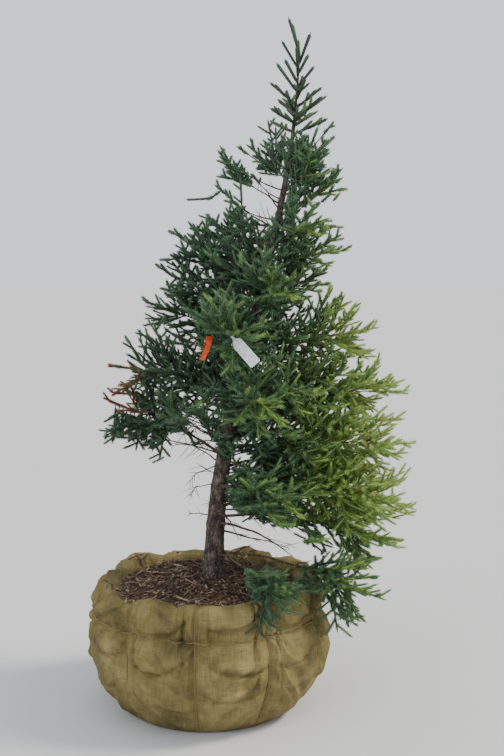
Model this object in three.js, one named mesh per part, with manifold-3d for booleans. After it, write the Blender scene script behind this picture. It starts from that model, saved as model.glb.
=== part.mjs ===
// A spruce sapling lifted with its root ball, which is wrapped in burlap and laced with twine.
// Millimetres, +Z up. The origin is the middle of the ball's flat underside, and -Y is the front.
import * as THREE from "three";
import { mergeVertices } from "three/addons/utils/BufferGeometryUtils.js";
import Module from "manifold-3d";

const wasm = await Module();
wasm.setup();

const GAP = 0.3; // between pieces that touch
const UP = new THREE.Vector3(0, 0, 1);
const BACK = new THREE.Vector3(0, 1, 0);

// Root ball
const BALL_TOP = 580; // ground level at the trunk
const BALL_FOOT_RADIUS = 395; // flat underside
const BALL_RADIUS = 532; // along the lacing, at the widest
const BALL_WIDEST = 330; // height of the widest part
const BALL_SHOULDER_RADIUS = 486; // at the rolled rim
const RIM_HEIGHT = 574;
const RIM_LUMP = 26; // the rim's folds rise and fall by this
const RIM_ROLL = 42; // width of the rolled edge
const SOIL_SEAT = 545; // top of the packed soil under the burlap's rim
const PILLOW = 26; // how far the cloth swells out between the lacing
const LACES = 10;
const LACE_FROM = -94; // bearing of the first upright, degrees
const BELT_HEIGHT = 440; // level twine round the ball
const BALL_ROWS = [0, 60, 160, 270, 370, BELT_HEIGHT, 505];
const COLUMNS_PER_PILLOW = 3;
const TWINE_RADIUS = 3;
const TWINE_SIDES = 3;
const MOUND = [[0, 1], [10, 0.95], [24, 0.72]]; // rise above the seat, and share of the mound's radius
const MOUND_FLAT = 0.3; // share of that radius which is flat, under the trunk
const MOUND_SIDES = 20;

// Trunk, with heights measured from ground level
const TRUNK_OFFSET = 25; // the trunk stands this far right of the ball's middle
const TRUNK_LENGTH = 2000;
const TRUNK_FOOT_RADIUS = 47;
const TRUNK_TAPER = 0.0186; // radius lost for each unit of height
const FLARE = 14; // added to the radius at the ground
const FLARE_HEIGHT = 45;
const ROOT_LOBES = 3; // the flare swells over this many roots
const LOBE_DEPTH = 0.16; // of the radius
const LOBE_TURN = 0.4; // radians
const LEAN = 390; // sideways reach of the tip
const LEAN_SPAN = 2450;
const TRUNK_SIDES = 10;
const TRUNK_RINGS = 20;
const RING_CROWDING = 1.5; // a power over 1 brings the lower rings closer together

// Whorls of boughs from the ground up, each limb starting a climb above the one before. Reaches are from the
// trunk's axis to the last needles, right, left and towards the front or back; up and upLeft are how far a
// tip ends above its root, right and left; arch is the bow of the limb, and bare its share without needles,
// which is the bough. Posture is how far the sprays rise, and below 0 how far they hang.
const WHORLS = [
  { height: 110, climb: 0, first: -62, step: 40, count: 2, right: 860, left: 500, deep: 670,
    up: -160, upLeft: 0, arch: 60, bare: 0.4, posture: -0.4 },
  { height: 250, climb: 30, first: -50, step: 52, count: 3, right: 870, left: 500, deep: 640,
    up: -150, upLeft: 0, arch: 60, bare: 0.38, posture: -0.3 },
  { height: 420, climb: 45, first: -64, step: 48, count: 3, right: 950, left: 500, deep: 600,
    up: -120, upLeft: 0, arch: 60, bare: 0.36, posture: -0.2 },
  { height: 610, climb: -15, first: -110, step: 97, count: 4, right: 890, left: 550, deep: 600,
    up: 40, upLeft: 250, arch: 30, bare: 0.3, posture: -0.35 },
  { height: 800, climb: 20, first: -75, step: 90, count: 4, right: 840, left: 590, deep: 580,
    up: 30, upLeft: 120, arch: 30, bare: 0.24, posture: 0 },
  { height: 1030, climb: 25, first: -96, step: 90, count: 4, right: 600, left: 490, deep: 600,
    up: 90, upLeft: 160, arch: 10, bare: 0.2, posture: 0.1 },
  { height: 1210, climb: 35, first: 185, step: 95, count: 4, right: 330, left: 450, deep: 450,
    up: 150, upLeft: 230, arch: -20, bare: 0, posture: 0.25 },
  { height: 1380, climb: 50, first: 180, step: 160, count: 4, right: 350, left: 430, deep: 360,
    up: 150, upLeft: 220, arch: -30, bare: 0, posture: 0.35 },
  { height: 1600, climb: 55, first: 190, step: 160, count: 5, right: 290, left: 280, deep: 270,
    up: 215, upLeft: 200, arch: -20, bare: 0, posture: 0.45 },
];
const TRUNK_SHARE = 0.15; // of a limb without a bough is stem and has no core of needles
const LONG_LIMB = 700; // limbs from this length on carry the widest masses
const BOUGH_RADIUS = 8;
const BOUGH_TIP_RADIUS = 4.5;
const BOUGH_SIDES = 5;
const STEM_RADIUS = 4;
const STEM_TIP_RADIUS = 2;
const LEADER_LENGTH = 375; // the shoot that goes on from the trunk's tip
const LEADER_RADIUS = 9;
const LEADER_TIP_RADIUS = 3;
const LEADER_SEAT = 4; // depth of its foot, before the trunk is cut from it
const LEADER_TOP_LENGTH = 155; // its end spray

// Sprays of needles
const SPRAY_LENGTH = 250;
const SPRAY_WIDTH = 0.42; // of its length
const SPRAY_DEPTH = 0.8; // of its width
const SPRAY_CURL = 0.06; // rise of the tip, of its length
const SPRAY_SPACING = 0.195; // of a mass's spread, from one spray to the next on the other side
const TEETH = [[0, 0.16], [0.4, 1], [0.47, 0.5], [0.72, 0.8]]; // place and width; the tip is a point
const SPREADS = [0.62, 1.08]; // size of the sprays on the shortest and the longest limbs
const OPENING = 52; // degrees between a stem and its sprays
const OPENING_PLAY = 14;
const PAIR_TURNS = [0.15, 1.05, -0.9]; // radians above level, for one pair of sprays after another
const TURN_PLAY = 0.4;
const TIP_SEAT = 8; // a stem's last spray starts this far inside it
const FORK_OVER = 222; // a spray longer than this carries a smaller one
const FORK = { along: 0.42, aside: 45, length: 0.6 };
const SECOND_TRY = { length: 0.7, roll: 1 }; // shorter and turned, for a spray that finds no room
const OWN_SPACE = 0.7; // another stem may be no nearer to a spray's tip than this share of its own
const DENSE_WHORLS = [3, 7]; // their masses have a core of needles round the stem
const CORE_SHAPE = [[0.12, 26], [0.4, 36], [0.75, 28]]; // place along the stem, and radius
const FINGER_WIDTH = 19; // sprays on the leader are slim and nearly bare of side shoots
const FINGERS = 21;
const FINGER_TURN = 137.5; // degrees from one finger to the next
const FINGER_OPENINGS = [70, 24]; // degrees, lowest and highest
const FINGER_LENGTHS = [205, 125];
const FINGER_SWELLING = 2.4; // the lowest fingers are this much wider
const FINGER_CROWDING = 1.25;
const SHORT_FINGER = 0.75; // every third one

// Label and ribbon, both on the stem of the bough that points to the front
const FRONT_BOUGH = "6_1";
const TAG = { along: 0.86, length: 132, width: 48, thickness: 1.4, slope: -49, eye: 3.1, eyeWall: 3,
  neck: 26, neckWidth: 7 };
const RIBBON = { twigAlong: 0.7, twigLength: 175, bare: 118, width: 25, thickness: 1, long: 98, short: 64 };

const radians = THREE.MathUtils.degToRad;
const mix = THREE.MathUtils.lerp;

// A repeatable row of numbers from 0 to 1
function dice(seed) {
  let state = seed;
  return () => {
    state = (state * 16807) % 2147483647;
    return state / 2147483647;
  };
}

// A closed body through rings of points, counter-clockwise seen from its far end. One point makes a tip,
// and a loop goes on from its last ring to its first.
function ringBody(rings, loop = false) {
  const points = rings.flat();
  const sides = rings[0].length;
  const faces = [];
  for (let row = 0; row < rings.length - (loop ? 0 : 1); row++) {
    const low = row * sides;
    const high = ((row + 1) % rings.length) * sides;
    for (let k = 0; k < sides; k++) {
      const next = (k + 1) % sides;
      if (high + sides > points.length) faces.push(low + k, low + next, high);
      else faces.push(low + k, low + next, high + next, low + k, high + next, high + k);
    }
  }
  const last = (rings.length - 1) * sides;
  for (let k = 1; k + 1 < sides && !loop; k++) {
    faces.push(0, k + 1, k);
    if (rings.at(-1).length > 1) faces.push(last, last + k, last + k + 1);
  }
  const geometry = new THREE.BufferGeometry().setFromPoints(points);
  geometry.setIndex(faces);
  return geometry;
}

function solidOf(shape) {
  const geometry = shape.index ? shape : mergeVertices(shape.deleteAttribute("normal").deleteAttribute("uv"));
  return new wasm.Manifold(new wasm.Mesh({
    numProp: 3,
    vertProperties: new Float32Array(geometry.getAttribute("position").array),
    triVerts: new Uint32Array(geometry.index.array),
  }));
}

function geometryOf(solid) {
  const mesh = solid.getMesh();
  const geometry = new THREE.BufferGeometry();
  geometry.setAttribute("position", new THREE.BufferAttribute(mesh.vertProperties, mesh.numProp));
  geometry.setIndex(new THREE.BufferAttribute(mesh.triVerts, 1));
  return geometry;
}

function fused(solids) {
  return solids.reduce((whole, solid) => whole.add(solid));
}

// Two directions square to a line, the second as near upright as it can be
function squareTo(along) {
  const side = new THREE.Vector3().crossVectors(Math.abs(along.z) > 0.96 ? BACK : UP, along).normalize();
  return [side, new THREE.Vector3().crossVectors(along, side)];
}

function ring(centre, along, radius, sides, across = squareTo(along)[0]) {
  const rise = new THREE.Vector3().crossVectors(along, across).normalize();
  return Array.from({ length: sides }, (_, k) => {
    const angle = (2 * Math.PI * k) / sides;
    return centre.clone().addScaledVector(across, radius * Math.cos(angle))
      .addScaledVector(rise, radius * Math.sin(angle));
  });
}

// A tapering limb along part of a curve
function limb(curve, from, to, steps, startRadius, endRadius, sides) {
  const rings = [];
  for (let step = 0; step <= steps; step++) {
    const share = step / steps;
    const t = mix(from, to, share);
    rings.push(ring(curve.getPoint(t), curve.getTangent(t), mix(startRadius, endRadius, share), sides));
  }
  return solidOf(ringBody(rings));
}

function pointOn(radius, bearing, height) {
  return new THREE.Vector3(radius * Math.cos(bearing), radius * Math.sin(bearing), height);
}

function ballRadius(height) {
  if (height < BALL_WIDEST) {
    return BALL_RADIUS - (BALL_RADIUS - BALL_FOOT_RADIUS) * (1 - height / BALL_WIDEST) ** 2.2;
  }
  const share = (height - BALL_WIDEST) / (RIM_HEIGHT - BALL_WIDEST);
  return BALL_RADIUS - (BALL_RADIUS - BALL_SHOULDER_RADIUS) * share ** 2;
}

// The swelling of the cloth at a height: none under the belt of twine, and most half way between
function swelling(height) {
  if (height <= BELT_HEIGHT) return Math.sin((Math.PI * height) / BELT_HEIGHT) ** 0.6;
  return Math.sin((0.5 * Math.PI * (height - BELT_HEIGHT)) / (RIM_HEIGHT - BELT_HEIGHT));
}

const BALL_COLUMNS = LACES * COLUMNS_PER_PILLOW;
const ballChance = dice(4711);
const pillowSize = Array.from({ length: LACES }, () => 0.6 + 0.5 * ballChance());
const rimLump = Array.from({ length: LACES }, () => RIM_LUMP * (2 * ballChance() - 1));

// Rings of points on the burlap, from the underside over the rim to the seat of the soil
function ballRings() {
  const columns = Array.from({ length: BALL_COLUMNS }, (_, column) => {
    const pillow = Math.floor(column / COLUMNS_PER_PILLOW);
    const onLace = column % COLUMNS_PER_PILLOW === 0;
    const lump = onLace ? 0 : rimLump[pillow];
    const swell = onLace ? 0 : pillowSize[pillow];
    return { bearing: radians(LACE_FROM + (360 * column) / BALL_COLUMNS), lump, swell };
  });
  const rings = BALL_ROWS.map((height) => columns.map(({ bearing, swell }) =>
    pointOn(ballRadius(height) + PILLOW * swell * swelling(height), bearing, height)));
  rings.push(columns.map(({ bearing, lump, swell }) =>
    pointOn(BALL_SHOULDER_RADIUS + 0.5 * PILLOW * swell, bearing, RIM_HEIGHT - RIM_ROLL / 3 + lump)));
  rings.push(columns.map(({ bearing, lump }) =>
    pointOn(BALL_SHOULDER_RADIUS - RIM_ROLL, bearing, RIM_HEIGHT + lump)));
  rings.push(columns.map(({ bearing }) =>
    pointOn(BALL_SHOULDER_RADIUS - 2 * RIM_ROLL, bearing, SOIL_SEAT)));
  return rings;
}

const burlap = ballRings();

// The packed soil on the ball, a low mound with a flat place for the trunk
function soilTop() {
  const edge = BALL_SHOULDER_RADIUS - 2 * RIM_ROLL - 20 * GAP;
  const levels = [...MOUND, [BALL_TOP - SOIL_SEAT - GAP, MOUND_FLAT]];
  return solidOf(ringBody(levels.map(([rise, share]) => Array.from({ length: MOUND_SIDES }, (_, k) =>
    pointOn(share * edge, (2 * Math.PI * k) / MOUND_SIDES, SOIL_SEAT + GAP + rise)))));
}

// Twine laid along points of the burlap, clear of it by the usual gap. Across is level with the cloth and
// square to the twine.
function twineAlong(points, loop, across) {
  const stand = TWINE_RADIUS + 3 * GAP;
  const count = points.length;
  const tangents = points.map((point, k) => {
    const before = loop ? points[(k + count - 1) % count] : points[Math.max(0, k - 1)];
    const after = loop ? points[(k + 1) % count] : points[Math.min(count - 1, k + 1)];
    return after.clone().sub(before).normalize();
  });
  const rings = points.map((point, k) => {
    const outward = new THREE.Vector3().crossVectors(across, tangents[k]).normalize();
    const centre = point.clone().addScaledVector(outward, stand);
    return ring(centre, tangents[k], TWINE_RADIUS, TWINE_SIDES, across);
  });
  return solidOf(ringBody(rings, loop));
}

// A belt and uprights, knotted where they cross
function twineBody() {
  const uprights = Array.from({ length: LACES }, (_, lace) => {
    const column = lace * COLUMNS_PER_PILLOW;
    const bearing = radians(LACE_FROM + (360 * column) / BALL_COLUMNS);
    const across = new THREE.Vector3(-Math.sin(bearing), Math.cos(bearing), 0);
    return twineAlong(burlap.slice(1, -1).map((points) => points[column]), false, across);
  });
  const down = UP.clone().negate();
  return fused([twineAlong(burlap[BALL_ROWS.indexOf(BELT_HEIGHT)], true, down), ...uprights]);
}

function trunkRadius(height) {
  return TRUNK_FOOT_RADIUS - TRUNK_TAPER * height + FLARE * Math.exp(-height / FLARE_HEIGHT);
}

function trunkAxis(height) {
  const lean = (LEAN / 2) * (1 - Math.cos((Math.PI * height) / LEAN_SPAN));
  return new THREE.Vector3(TRUNK_OFFSET + lean, 0, BALL_TOP + GAP + height);
}

// The trunk's rings lie level, and closer together in the flare
function trunkBody(extra) {
  const rings = [];
  for (let row = 0; row <= TRUNK_RINGS; row++) {
    const share = (row / TRUNK_RINGS) ** RING_CROWDING;
    const height = TRUNK_LENGTH * share + (row === TRUNK_RINGS ? extra : 0);
    const lobes = LOBE_DEPTH * Math.exp(-height / FLARE_HEIGHT);
    const centre = trunkAxis(height);
    rings.push(Array.from({ length: TRUNK_SIDES }, (_, k) => {
      const bearing = (2 * Math.PI * k) / TRUNK_SIDES;
      const swollen = 1 + lobes * Math.cos(ROOT_LOBES * bearing - LOBE_TURN);
      return centre.clone().add(pointOn(trunkRadius(height) * swollen + extra, bearing, 0));
    }));
  }
  return solidOf(ringBody(rings));
}

// A toothed spindle that stands for a shoot and its needles, curling up a little towards its tip
function spray(root, along, length, roll, width = SPRAY_WIDTH * length) {
  const [side, rise] = squareTo(along);
  const curl = (share) => UP.clone().multiplyScalar(SPRAY_CURL * length * share * share);
  const rings = TEETH.map(([share, wide]) => {
    const centre = root.clone().addScaledVector(along, length * share).add(curl(share));
    return [0, 1, 2].map((corner) => {
      const angle = roll + corner * radians(120);
      return centre.clone().addScaledVector(side, (width / 2) * wide * Math.cos(angle))
        .addScaledVector(rise, (width / 2) * wide * SPRAY_DEPTH * Math.sin(angle));
    });
  });
  rings.push([root.clone().addScaledVector(along, length).add(curl(1))]);
  return solidOf(ringBody(rings));
}

// Reach and lift of a whorl's bough by its bearing: an ellipse through the four named reaches
function boughCurve(whorl, k) {
  const bearing = radians(whorl.first + k * whorl.step);
  const toRight = Math.cos(bearing);
  const sideReach = toRight > 0 ? whorl.right : whorl.left;
  const reach = 1 / Math.hypot(toRight / sideReach, Math.sin(bearing) / whorl.deep);
  const lift = mix(whorl.upLeft, whorl.up, (1 + toRight) / 2);
  const start = trunkAxis(whorl.height + k * whorl.climb);
  const end = start.clone().add(pointOn(reach, bearing, lift));
  const bow = start.clone().lerp(end, 0.5).addScaledVector(UP, 2 * whorl.arch);
  return new THREE.QuadraticBezierCurve3(start, bow, end);
}

// Every mass of needles: its limb, where its stem starts, and how wide it spreads
function planMasses() {
  const masses = [];
  WHORLS.forEach((whorl, level) => {
    for (let k = 0; k < whorl.count; k++) {
      const curve = boughCurve(whorl, k);
      const length = curve.getLength();
      const name = `${level + 1}_${k + 1}`;
      masses.push({
        name,
        curve,
        length,
        bare: whorl.bare,
        from: whorl.bare ? whorl.bare + (1.1 * GAP) / length : 0,
        spread: SPRAY_LENGTH * mix(...SPREADS, Math.min(1, length / LONG_LIMB)),
        posture: whorl.posture,
        dense: level + 1 >= DENSE_WHORLS[0] && level + 1 <= DENSE_WHORLS[1] && name !== FRONT_BOUGH,
        seed: 100 + 10 * level + k,
      });
    }
  });
  return masses;
}

// The leader goes straight up from the tip of the leaning trunk
function planLeader() {
  const start = trunkAxis(TRUNK_LENGTH - LEADER_SEAT);
  const end = trunkAxis(TRUNK_LENGTH + LEADER_LENGTH);
  const bow = trunkAxis(TRUNK_LENGTH + LEADER_LENGTH / 2);
  return { name: "leader", curve: new THREE.QuadraticBezierCurve3(start, bow, end), from: 0 };
}

const trunk = trunkBody(0);
const trunkRoom = trunkBody(1.2 * GAP);
const masses = planMasses();

function boughOf(mass) {
  const whole = limb(mass.curve, 0, mass.bare, 3, BOUGH_RADIUS, BOUGH_TIP_RADIUS, BOUGH_SIDES);
  return whole.subtract(trunkRoom);
}

// Where a stem ends and its last spray takes over; the front one goes on through the label's eye
function stemEnd(mass) {
  if (mass.name === FRONT_BOUGH) return TAG.along + 0.05;
  return 1 - (0.7 * mass.spread) / mass.length;
}

function stemOf(mass) {
  const end = stemEnd(mass);
  const core = mass.dense ? CORE_SHAPE : [[0.5, mix(STEM_RADIUS, STEM_TIP_RADIUS, 0.5)]];
  const from = mass.bare ? mass.from : TRUNK_SHARE;
  const rings = [[mass.from, STEM_RADIUS], ...core.map(([share, radius]) => [mix(from, end, share), radius]),
    [end, STEM_TIP_RADIUS]];
  const stem = solidOf(ringBody(rings.map(([t, radius]) =>
    ring(mass.curve.getPoint(t), mass.curve.getTangent(t), radius, mass.dense ? 4 : 3))));
  return mass.bare ? stem : stem.subtract(trunkRoom);
}

// The label is one plate whose eye goes round the stem
function tagBody(mass) {
  const { length, width, thickness, slope, eye, eyeWall, neck, neckWidth } = TAG;
  const centre = mass.curve.getPoint(TAG.along);
  const plate = new THREE.Shape();
  const mouth = Math.asin(neckWidth / 2 / (eye + eyeWall));
  plate.absarc(0, 0, eye + eyeWall, mouth, 2 * Math.PI - mouth, false);
  plate.lineTo(neck, -neckWidth / 2);
  plate.lineTo(neck, -width / 2);
  plate.lineTo(neck + length, -width / 2);
  plate.lineTo(neck + length, width / 2);
  plate.lineTo(neck, width / 2);
  plate.lineTo(neck, neckWidth / 2);
  plate.holes.push(new THREE.Path().absarc(0, 0, eye, 0, 2 * Math.PI, true));
  const flat = { depth: thickness, bevelEnabled: false, curveSegments: 5 };
  const geometry = new THREE.ExtrudeGeometry(plate, flat).rotateZ(radians(slope)).rotateX(Math.PI / 2);
  return geometry.translate(centre.x, centre.y, centre.z);
}

// The ribbon is folded over a bare twig on the left of the same stem
function ribbonTwig(mass) {
  const start = mass.curve.getPoint(RIBBON.twigAlong);
  const along = new THREE.Vector3(-1, -0.35, 0.08).normalize();
  const end = start.clone().addScaledVector(along, RIBBON.twigLength);
  return { along, curve: new THREE.LineCurve3(start, end) };
}

function ribbonBody(twig) {
  const { width, thickness, long, short, bare } = RIBBON;
  const inner = STEM_TIP_RADIUS + 2 * GAP;
  const outer = inner + thickness;
  const fold = new THREE.Shape();
  fold.moveTo(-outer, -long);
  fold.lineTo(-inner, -long);
  fold.absarc(0, 0, inner, Math.PI, 0, true);
  fold.lineTo(inner, -short);
  fold.lineTo(outer, -short);
  fold.absarc(0, 0, outer, 0, Math.PI, false);
  const [side, rise] = squareTo(twig.along);
  const seat = new THREE.Matrix4().makeBasis(side, rise, twig.along);
  seat.setPosition(twig.curve.v1.clone().addScaledVector(twig.along, bare - width));
  const strip = { depth: width, bevelEnabled: false, curveSegments: 4 };
  return new THREE.ExtrudeGeometry(fold, strip).applyMatrix4(seat);
}

// Solids that stand so far
const placed = [];

function place(name, solid) {
  placed.push({ name, solid, box: boxOf(solid) });
  return solid;
}

function boxOf(solid) {
  const { min, max } = solid.boundingBox();
  return new THREE.Box3(new THREE.Vector3(...min), new THREE.Vector3(...max)).expandByScalar(GAP);
}

// A new piece stays clear of all that stand, apart from those that it grows out of
function isClear(solid, carriers) {
  const box = boxOf(solid);
  return placed.every((other) => carriers.includes(other.solid) || !other.box.intersectsBox(box)
    || solid.minGap(other.solid, 2 * GAP) > 1.5 * GAP);
}

function distanceTo(mass, point) {
  return Math.min(...mass.space.map((sample) => sample.distanceTo(point)));
}

// A spray belongs where its own stem is the nearest one
function isOwnSpace(mass, tip) {
  const own = distanceTo(mass, tip);
  return allMasses.every((other) => other === mass || distanceTo(other, tip) > OWN_SPACE * own);
}

function tryToPlace(mass, carriers, root, along, length, roll, width) {
  if (!isOwnSpace(mass, root.clone().addScaledVector(along, length))) return null;
  const solid = spray(root, along, length, roll, width);
  return isClear(solid, carriers) ? place(mass.name, solid) : null;
}

// A direction that opens from a stem, turned round it from its right-hand side
function opened(along, opening, turn) {
  const [side, rise] = squareTo(along);
  return along.clone().multiplyScalar(Math.cos(opening))
    .addScaledVector(side, Math.sin(opening) * Math.cos(turn))
    .addScaledVector(rise, Math.sin(opening) * Math.sin(turn));
}

// Sprays go off right and left in turn; of three pairs, one lies level, one rises and one hangs
function growMass(mass) {
  const chance = dice(mass.seed);
  const sprays = [];
  const end = stemEnd(mass);
  const count = Math.round((mass.length * (end - mass.from)) / (SPRAY_SPACING * mass.spread));
  const tangent = mass.curve.getTangent(end);
  const tip = mass.curve.getPoint(end).addScaledVector(tangent, -TIP_SEAT);
  sprays.push(tryToPlace(mass, mass.body, tip, tangent, mass.length * (1 - end) + TIP_SEAT, 0));
  for (let k = 0; k < count; k++) {
    const share = (k + 0.5) / count;
    const t = mix(mass.from, end, share);
    const root = mass.curve.getPoint(t);
    const side = k % 2 ? 1 : -1;
    const turn = PAIR_TURNS[Math.floor(k / 2) % 3] + TURN_PLAY * (chance() - 0.5);
    const opening = radians(OPENING + OPENING_PLAY * (chance() - 0.5));
    const swell = 0.62 + 0.38 * Math.sin(Math.PI * (0.2 + 0.7 * share));
    let length = mass.spread * swell * mix(0.9, 1.1, chance());
    const roll = 2 * chance();
    const along = opened(mass.curve.getTangent(t), opening, side > 0 ? turn : Math.PI - turn);
    along.z += mass.posture;
    along.normalize();
    let grown = tryToPlace(mass, mass.body, root, along, length, roll);
    if (!grown) {
      length *= SECOND_TRY.length;
      grown = tryToPlace(mass, mass.body, root, along, length, roll + SECOND_TRY.roll);
    }
    sprays.push(grown);
    if (!grown || length < FORK_OVER) continue;
    const curl = SPRAY_CURL * length * FORK.along ** 2;
    const fork = root.clone().addScaledVector(along, FORK.along * length).addScaledVector(UP, curl);
    const aside = opened(along, radians(FORK.aside), side > 0 ? Math.PI : 0);
    sprays.push(tryToPlace(mass, [...mass.body, grown], fork, aside, FORK.length * length, roll));
  }
  return fused([...mass.body, ...sprays.filter(Boolean)]).simplify(0.1);
}

// Fingers stand round the leader, wide apart and long below, steep and close at the top
function growLeader(mass) {
  const sprays = [];
  for (let k = 0; k < FINGERS; k++) {
    const share = ((k + 0.6) / FINGERS) ** FINGER_CROWDING;
    const opening = radians(mix(...FINGER_OPENINGS, share));
    const length = mix(...FINGER_LENGTHS, share) * (k % 3 === 1 ? SHORT_FINGER : 1);
    const along = opened(UP, opening, radians(FINGER_TURN * k));
    const root = mass.curve.getPoint(mix(0.05, 1, share));
    const width = mix(FINGER_SWELLING, 1, Math.sqrt(share)) * FINGER_WIDTH;
    sprays.push(tryToPlace(mass, mass.body, root, along, length, 0, width));
  }
  const top = new THREE.Vector3(-0.31, 0, 0.95);
  sprays.push(spray(mass.curve.getPoint(0.98), top, LEADER_TOP_LENGTH, 0, FINGER_WIDTH));
  return fused([...mass.body, ...sprays.filter(Boolean)]);
}

const materials = {
  bark: new THREE.MeshStandardMaterial({ color: 0x5b5149, roughness: 0.95, metalness: 0 }),
  twig: new THREE.MeshStandardMaterial({ color: 0x6d5a48, roughness: 0.9, metalness: 0 }),
  burlap: new THREE.MeshStandardMaterial({ color: 0x9c8549, roughness: 1, metalness: 0 }),
  soil: new THREE.MeshStandardMaterial({ color: 0x4a3a2c, roughness: 1, metalness: 0 }),
  twine: new THREE.MeshStandardMaterial({ color: 0x6f5a34, roughness: 1, metalness: 0 }),
  label: new THREE.MeshStandardMaterial({ color: 0xf2f2ee, roughness: 0.5, metalness: 0 }),
  ribbon: new THREE.MeshStandardMaterial({ color: 0xe2471f, roughness: 0.45, metalness: 0 }),
  shadedNeedles: new THREE.MeshStandardMaterial({ color: 0x2c4a3a, roughness: 0.8, metalness: 0 }),
  sunnyNeedles: new THREE.MeshStandardMaterial({ color: 0x5d7a34, roughness: 0.8, metalness: 0 }),
};

const FINISHES = {
  trunk: "bark",
  root_ball: "burlap",
  soil_top: "soil",
  twine: "twine",
  tag: "label",
  ribbon: "ribbon",
};

// The sun falls on the lower right-hand side
function finishOf(mass) {
  const tip = mass.curve.getPoint(1);
  return tip.x > 450 && tip.z < 2000 ? "sunnyNeedles" : "shadedNeedles";
}

const tree = new THREE.Group();

function addNode(name, geometry, material) {
  const mesh = new THREE.Mesh(geometry, materials[material]);
  mesh.name = name;
  tree.add(mesh);
}

const leader = planLeader();
const allMasses = [...masses, leader];
for (const mass of allMasses) {
  mass.space = Array.from({ length: 9 }, (_, k) => mass.curve.getPoint(mix(mass.from, 1, k / 8)));
}

place("trunk", trunk);
place("root_ball", solidOf(ringBody(burlap)));
place("soil_top", soilTop());
place("twine", twineBody());
for (const mass of masses) {
  if (mass.bare) place(`bough_${mass.name}`, boughOf(mass));
  mass.body = [place(mass.name, stemOf(mass))];
}
const leaderStem = limb(leader.curve, 0, 1, 4, LEADER_RADIUS, LEADER_TIP_RADIUS, BOUGH_SIDES);
leader.body = [place(leader.name, leaderStem.subtract(trunkRoom))];

const front = masses.find(({ name }) => name === FRONT_BOUGH);
const twig = ribbonTwig(front);
place("tag", solidOf(tagBody(front)));
place("ribbon", solidOf(ribbonBody(twig)));
const twigEnd = twig.curve.getPoint(0.95);
front.body.push(place(front.name, limb(twig.curve, 0, 1, 1, STEM_TIP_RADIUS, STEM_TIP_RADIUS, 3)));
front.body.push(place(front.name, spray(twigEnd, twig.along, 0.6 * SPRAY_LENGTH, 0)));

const grown = allMasses.map((mass) => [mass, mass === leader ? growLeader(mass) : growMass(mass)]);
for (const { name, solid } of placed.filter(({ name }) => !allMasses.some((mass) => mass.name === name))) {
  addNode(name, geometryOf(solid), FINISHES[name] ?? "twig");
}
for (const [mass, solid] of grown) addNode(`needles_${mass.name}`, geometryOf(solid), finishOf(mass));

export default tree;
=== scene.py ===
"""A spruce sapling with its burlap-wrapped root ball, dressed around its CAD frame.

Everything is in metres, +Z up. The origin is the middle of the root ball's flat underside, and -Y
is the front. The tree's limbs follow the same named sizes and the same seeded rule as the CAD
solids do, and the rule is carried on to finer twigs and needles.
"""

import math
from collections import namedtuple

import bpy
import numpy as np
from mathutils import Matrix, Vector, noise


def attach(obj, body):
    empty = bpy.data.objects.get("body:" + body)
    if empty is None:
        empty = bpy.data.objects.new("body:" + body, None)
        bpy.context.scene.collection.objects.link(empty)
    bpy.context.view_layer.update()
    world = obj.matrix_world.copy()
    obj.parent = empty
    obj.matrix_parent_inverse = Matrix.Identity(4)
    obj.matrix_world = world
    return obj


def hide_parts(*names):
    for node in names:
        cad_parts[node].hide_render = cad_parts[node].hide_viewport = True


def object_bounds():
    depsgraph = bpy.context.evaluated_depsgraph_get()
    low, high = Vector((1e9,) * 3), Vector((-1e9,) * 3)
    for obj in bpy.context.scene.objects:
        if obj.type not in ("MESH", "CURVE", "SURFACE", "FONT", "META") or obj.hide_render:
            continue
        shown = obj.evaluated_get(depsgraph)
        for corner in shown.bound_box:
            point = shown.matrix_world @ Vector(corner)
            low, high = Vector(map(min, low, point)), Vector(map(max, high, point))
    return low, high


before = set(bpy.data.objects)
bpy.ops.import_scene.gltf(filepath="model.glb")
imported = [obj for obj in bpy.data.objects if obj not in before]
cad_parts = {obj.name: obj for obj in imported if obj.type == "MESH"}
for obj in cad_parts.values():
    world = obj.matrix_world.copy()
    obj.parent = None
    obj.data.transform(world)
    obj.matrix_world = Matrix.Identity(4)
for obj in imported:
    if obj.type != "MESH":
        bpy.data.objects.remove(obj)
cad_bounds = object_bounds()
noise.seed_set(1)  # noise_vector would differ from run to run without a seed

UP = Vector((0.0, 0.0, 1.0))
BACK = Vector((0.0, 1.0, 0.0))
GAP = 0.0003  # between CAD pieces that touch

# Camera and light
VIEWPOINT = Vector((0.203, -4.6, 1.94))
CAMERA_TILT = 5.4  # degrees below level
CAMERA_LENS, SENSOR_WIDTH = 48.1, 36
SUN_WAY, SUN_POWER, SUN_ANGLE = (-0.78, -0.02, -0.78), 3.3, 14
FILL_PLACE, FILL_WAY, FILL_POWER, FILL_SIZE = (-3.0, -5.0, 3.5), (3.2, 5.0, -2.0), 110, 3.0
SURROUND_COLOUR, SURROUND_POWER = (0.92, 0.95, 1.0, 1), 1.15
FLOOR_RADIUS, FLOOR_HEIGHT, FLOOR_COLOUR = 400, -0.0005, (0.58, 0.585, 0.59, 1)

# Root ball
BALL_TOP = 0.580
BALL_FOOT_RADIUS = 0.395
BALL_RADIUS = 0.532
BALL_WIDEST = 0.330
BALL_SHOULDER_RADIUS = 0.486
BALL_SIDES = 140
RIM_HEIGHT = 0.574
RIM_LUMP = 0.026
RIM_ROLL = 0.042
SOIL_SEAT = 0.545
PILLOW = 0.026
LACES = 10
LACE_FROM = -94  # degrees
BELT_HEIGHT = 0.440
TWINE_RADIUS = 0.003
TWINE_SINK = 0.001

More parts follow.
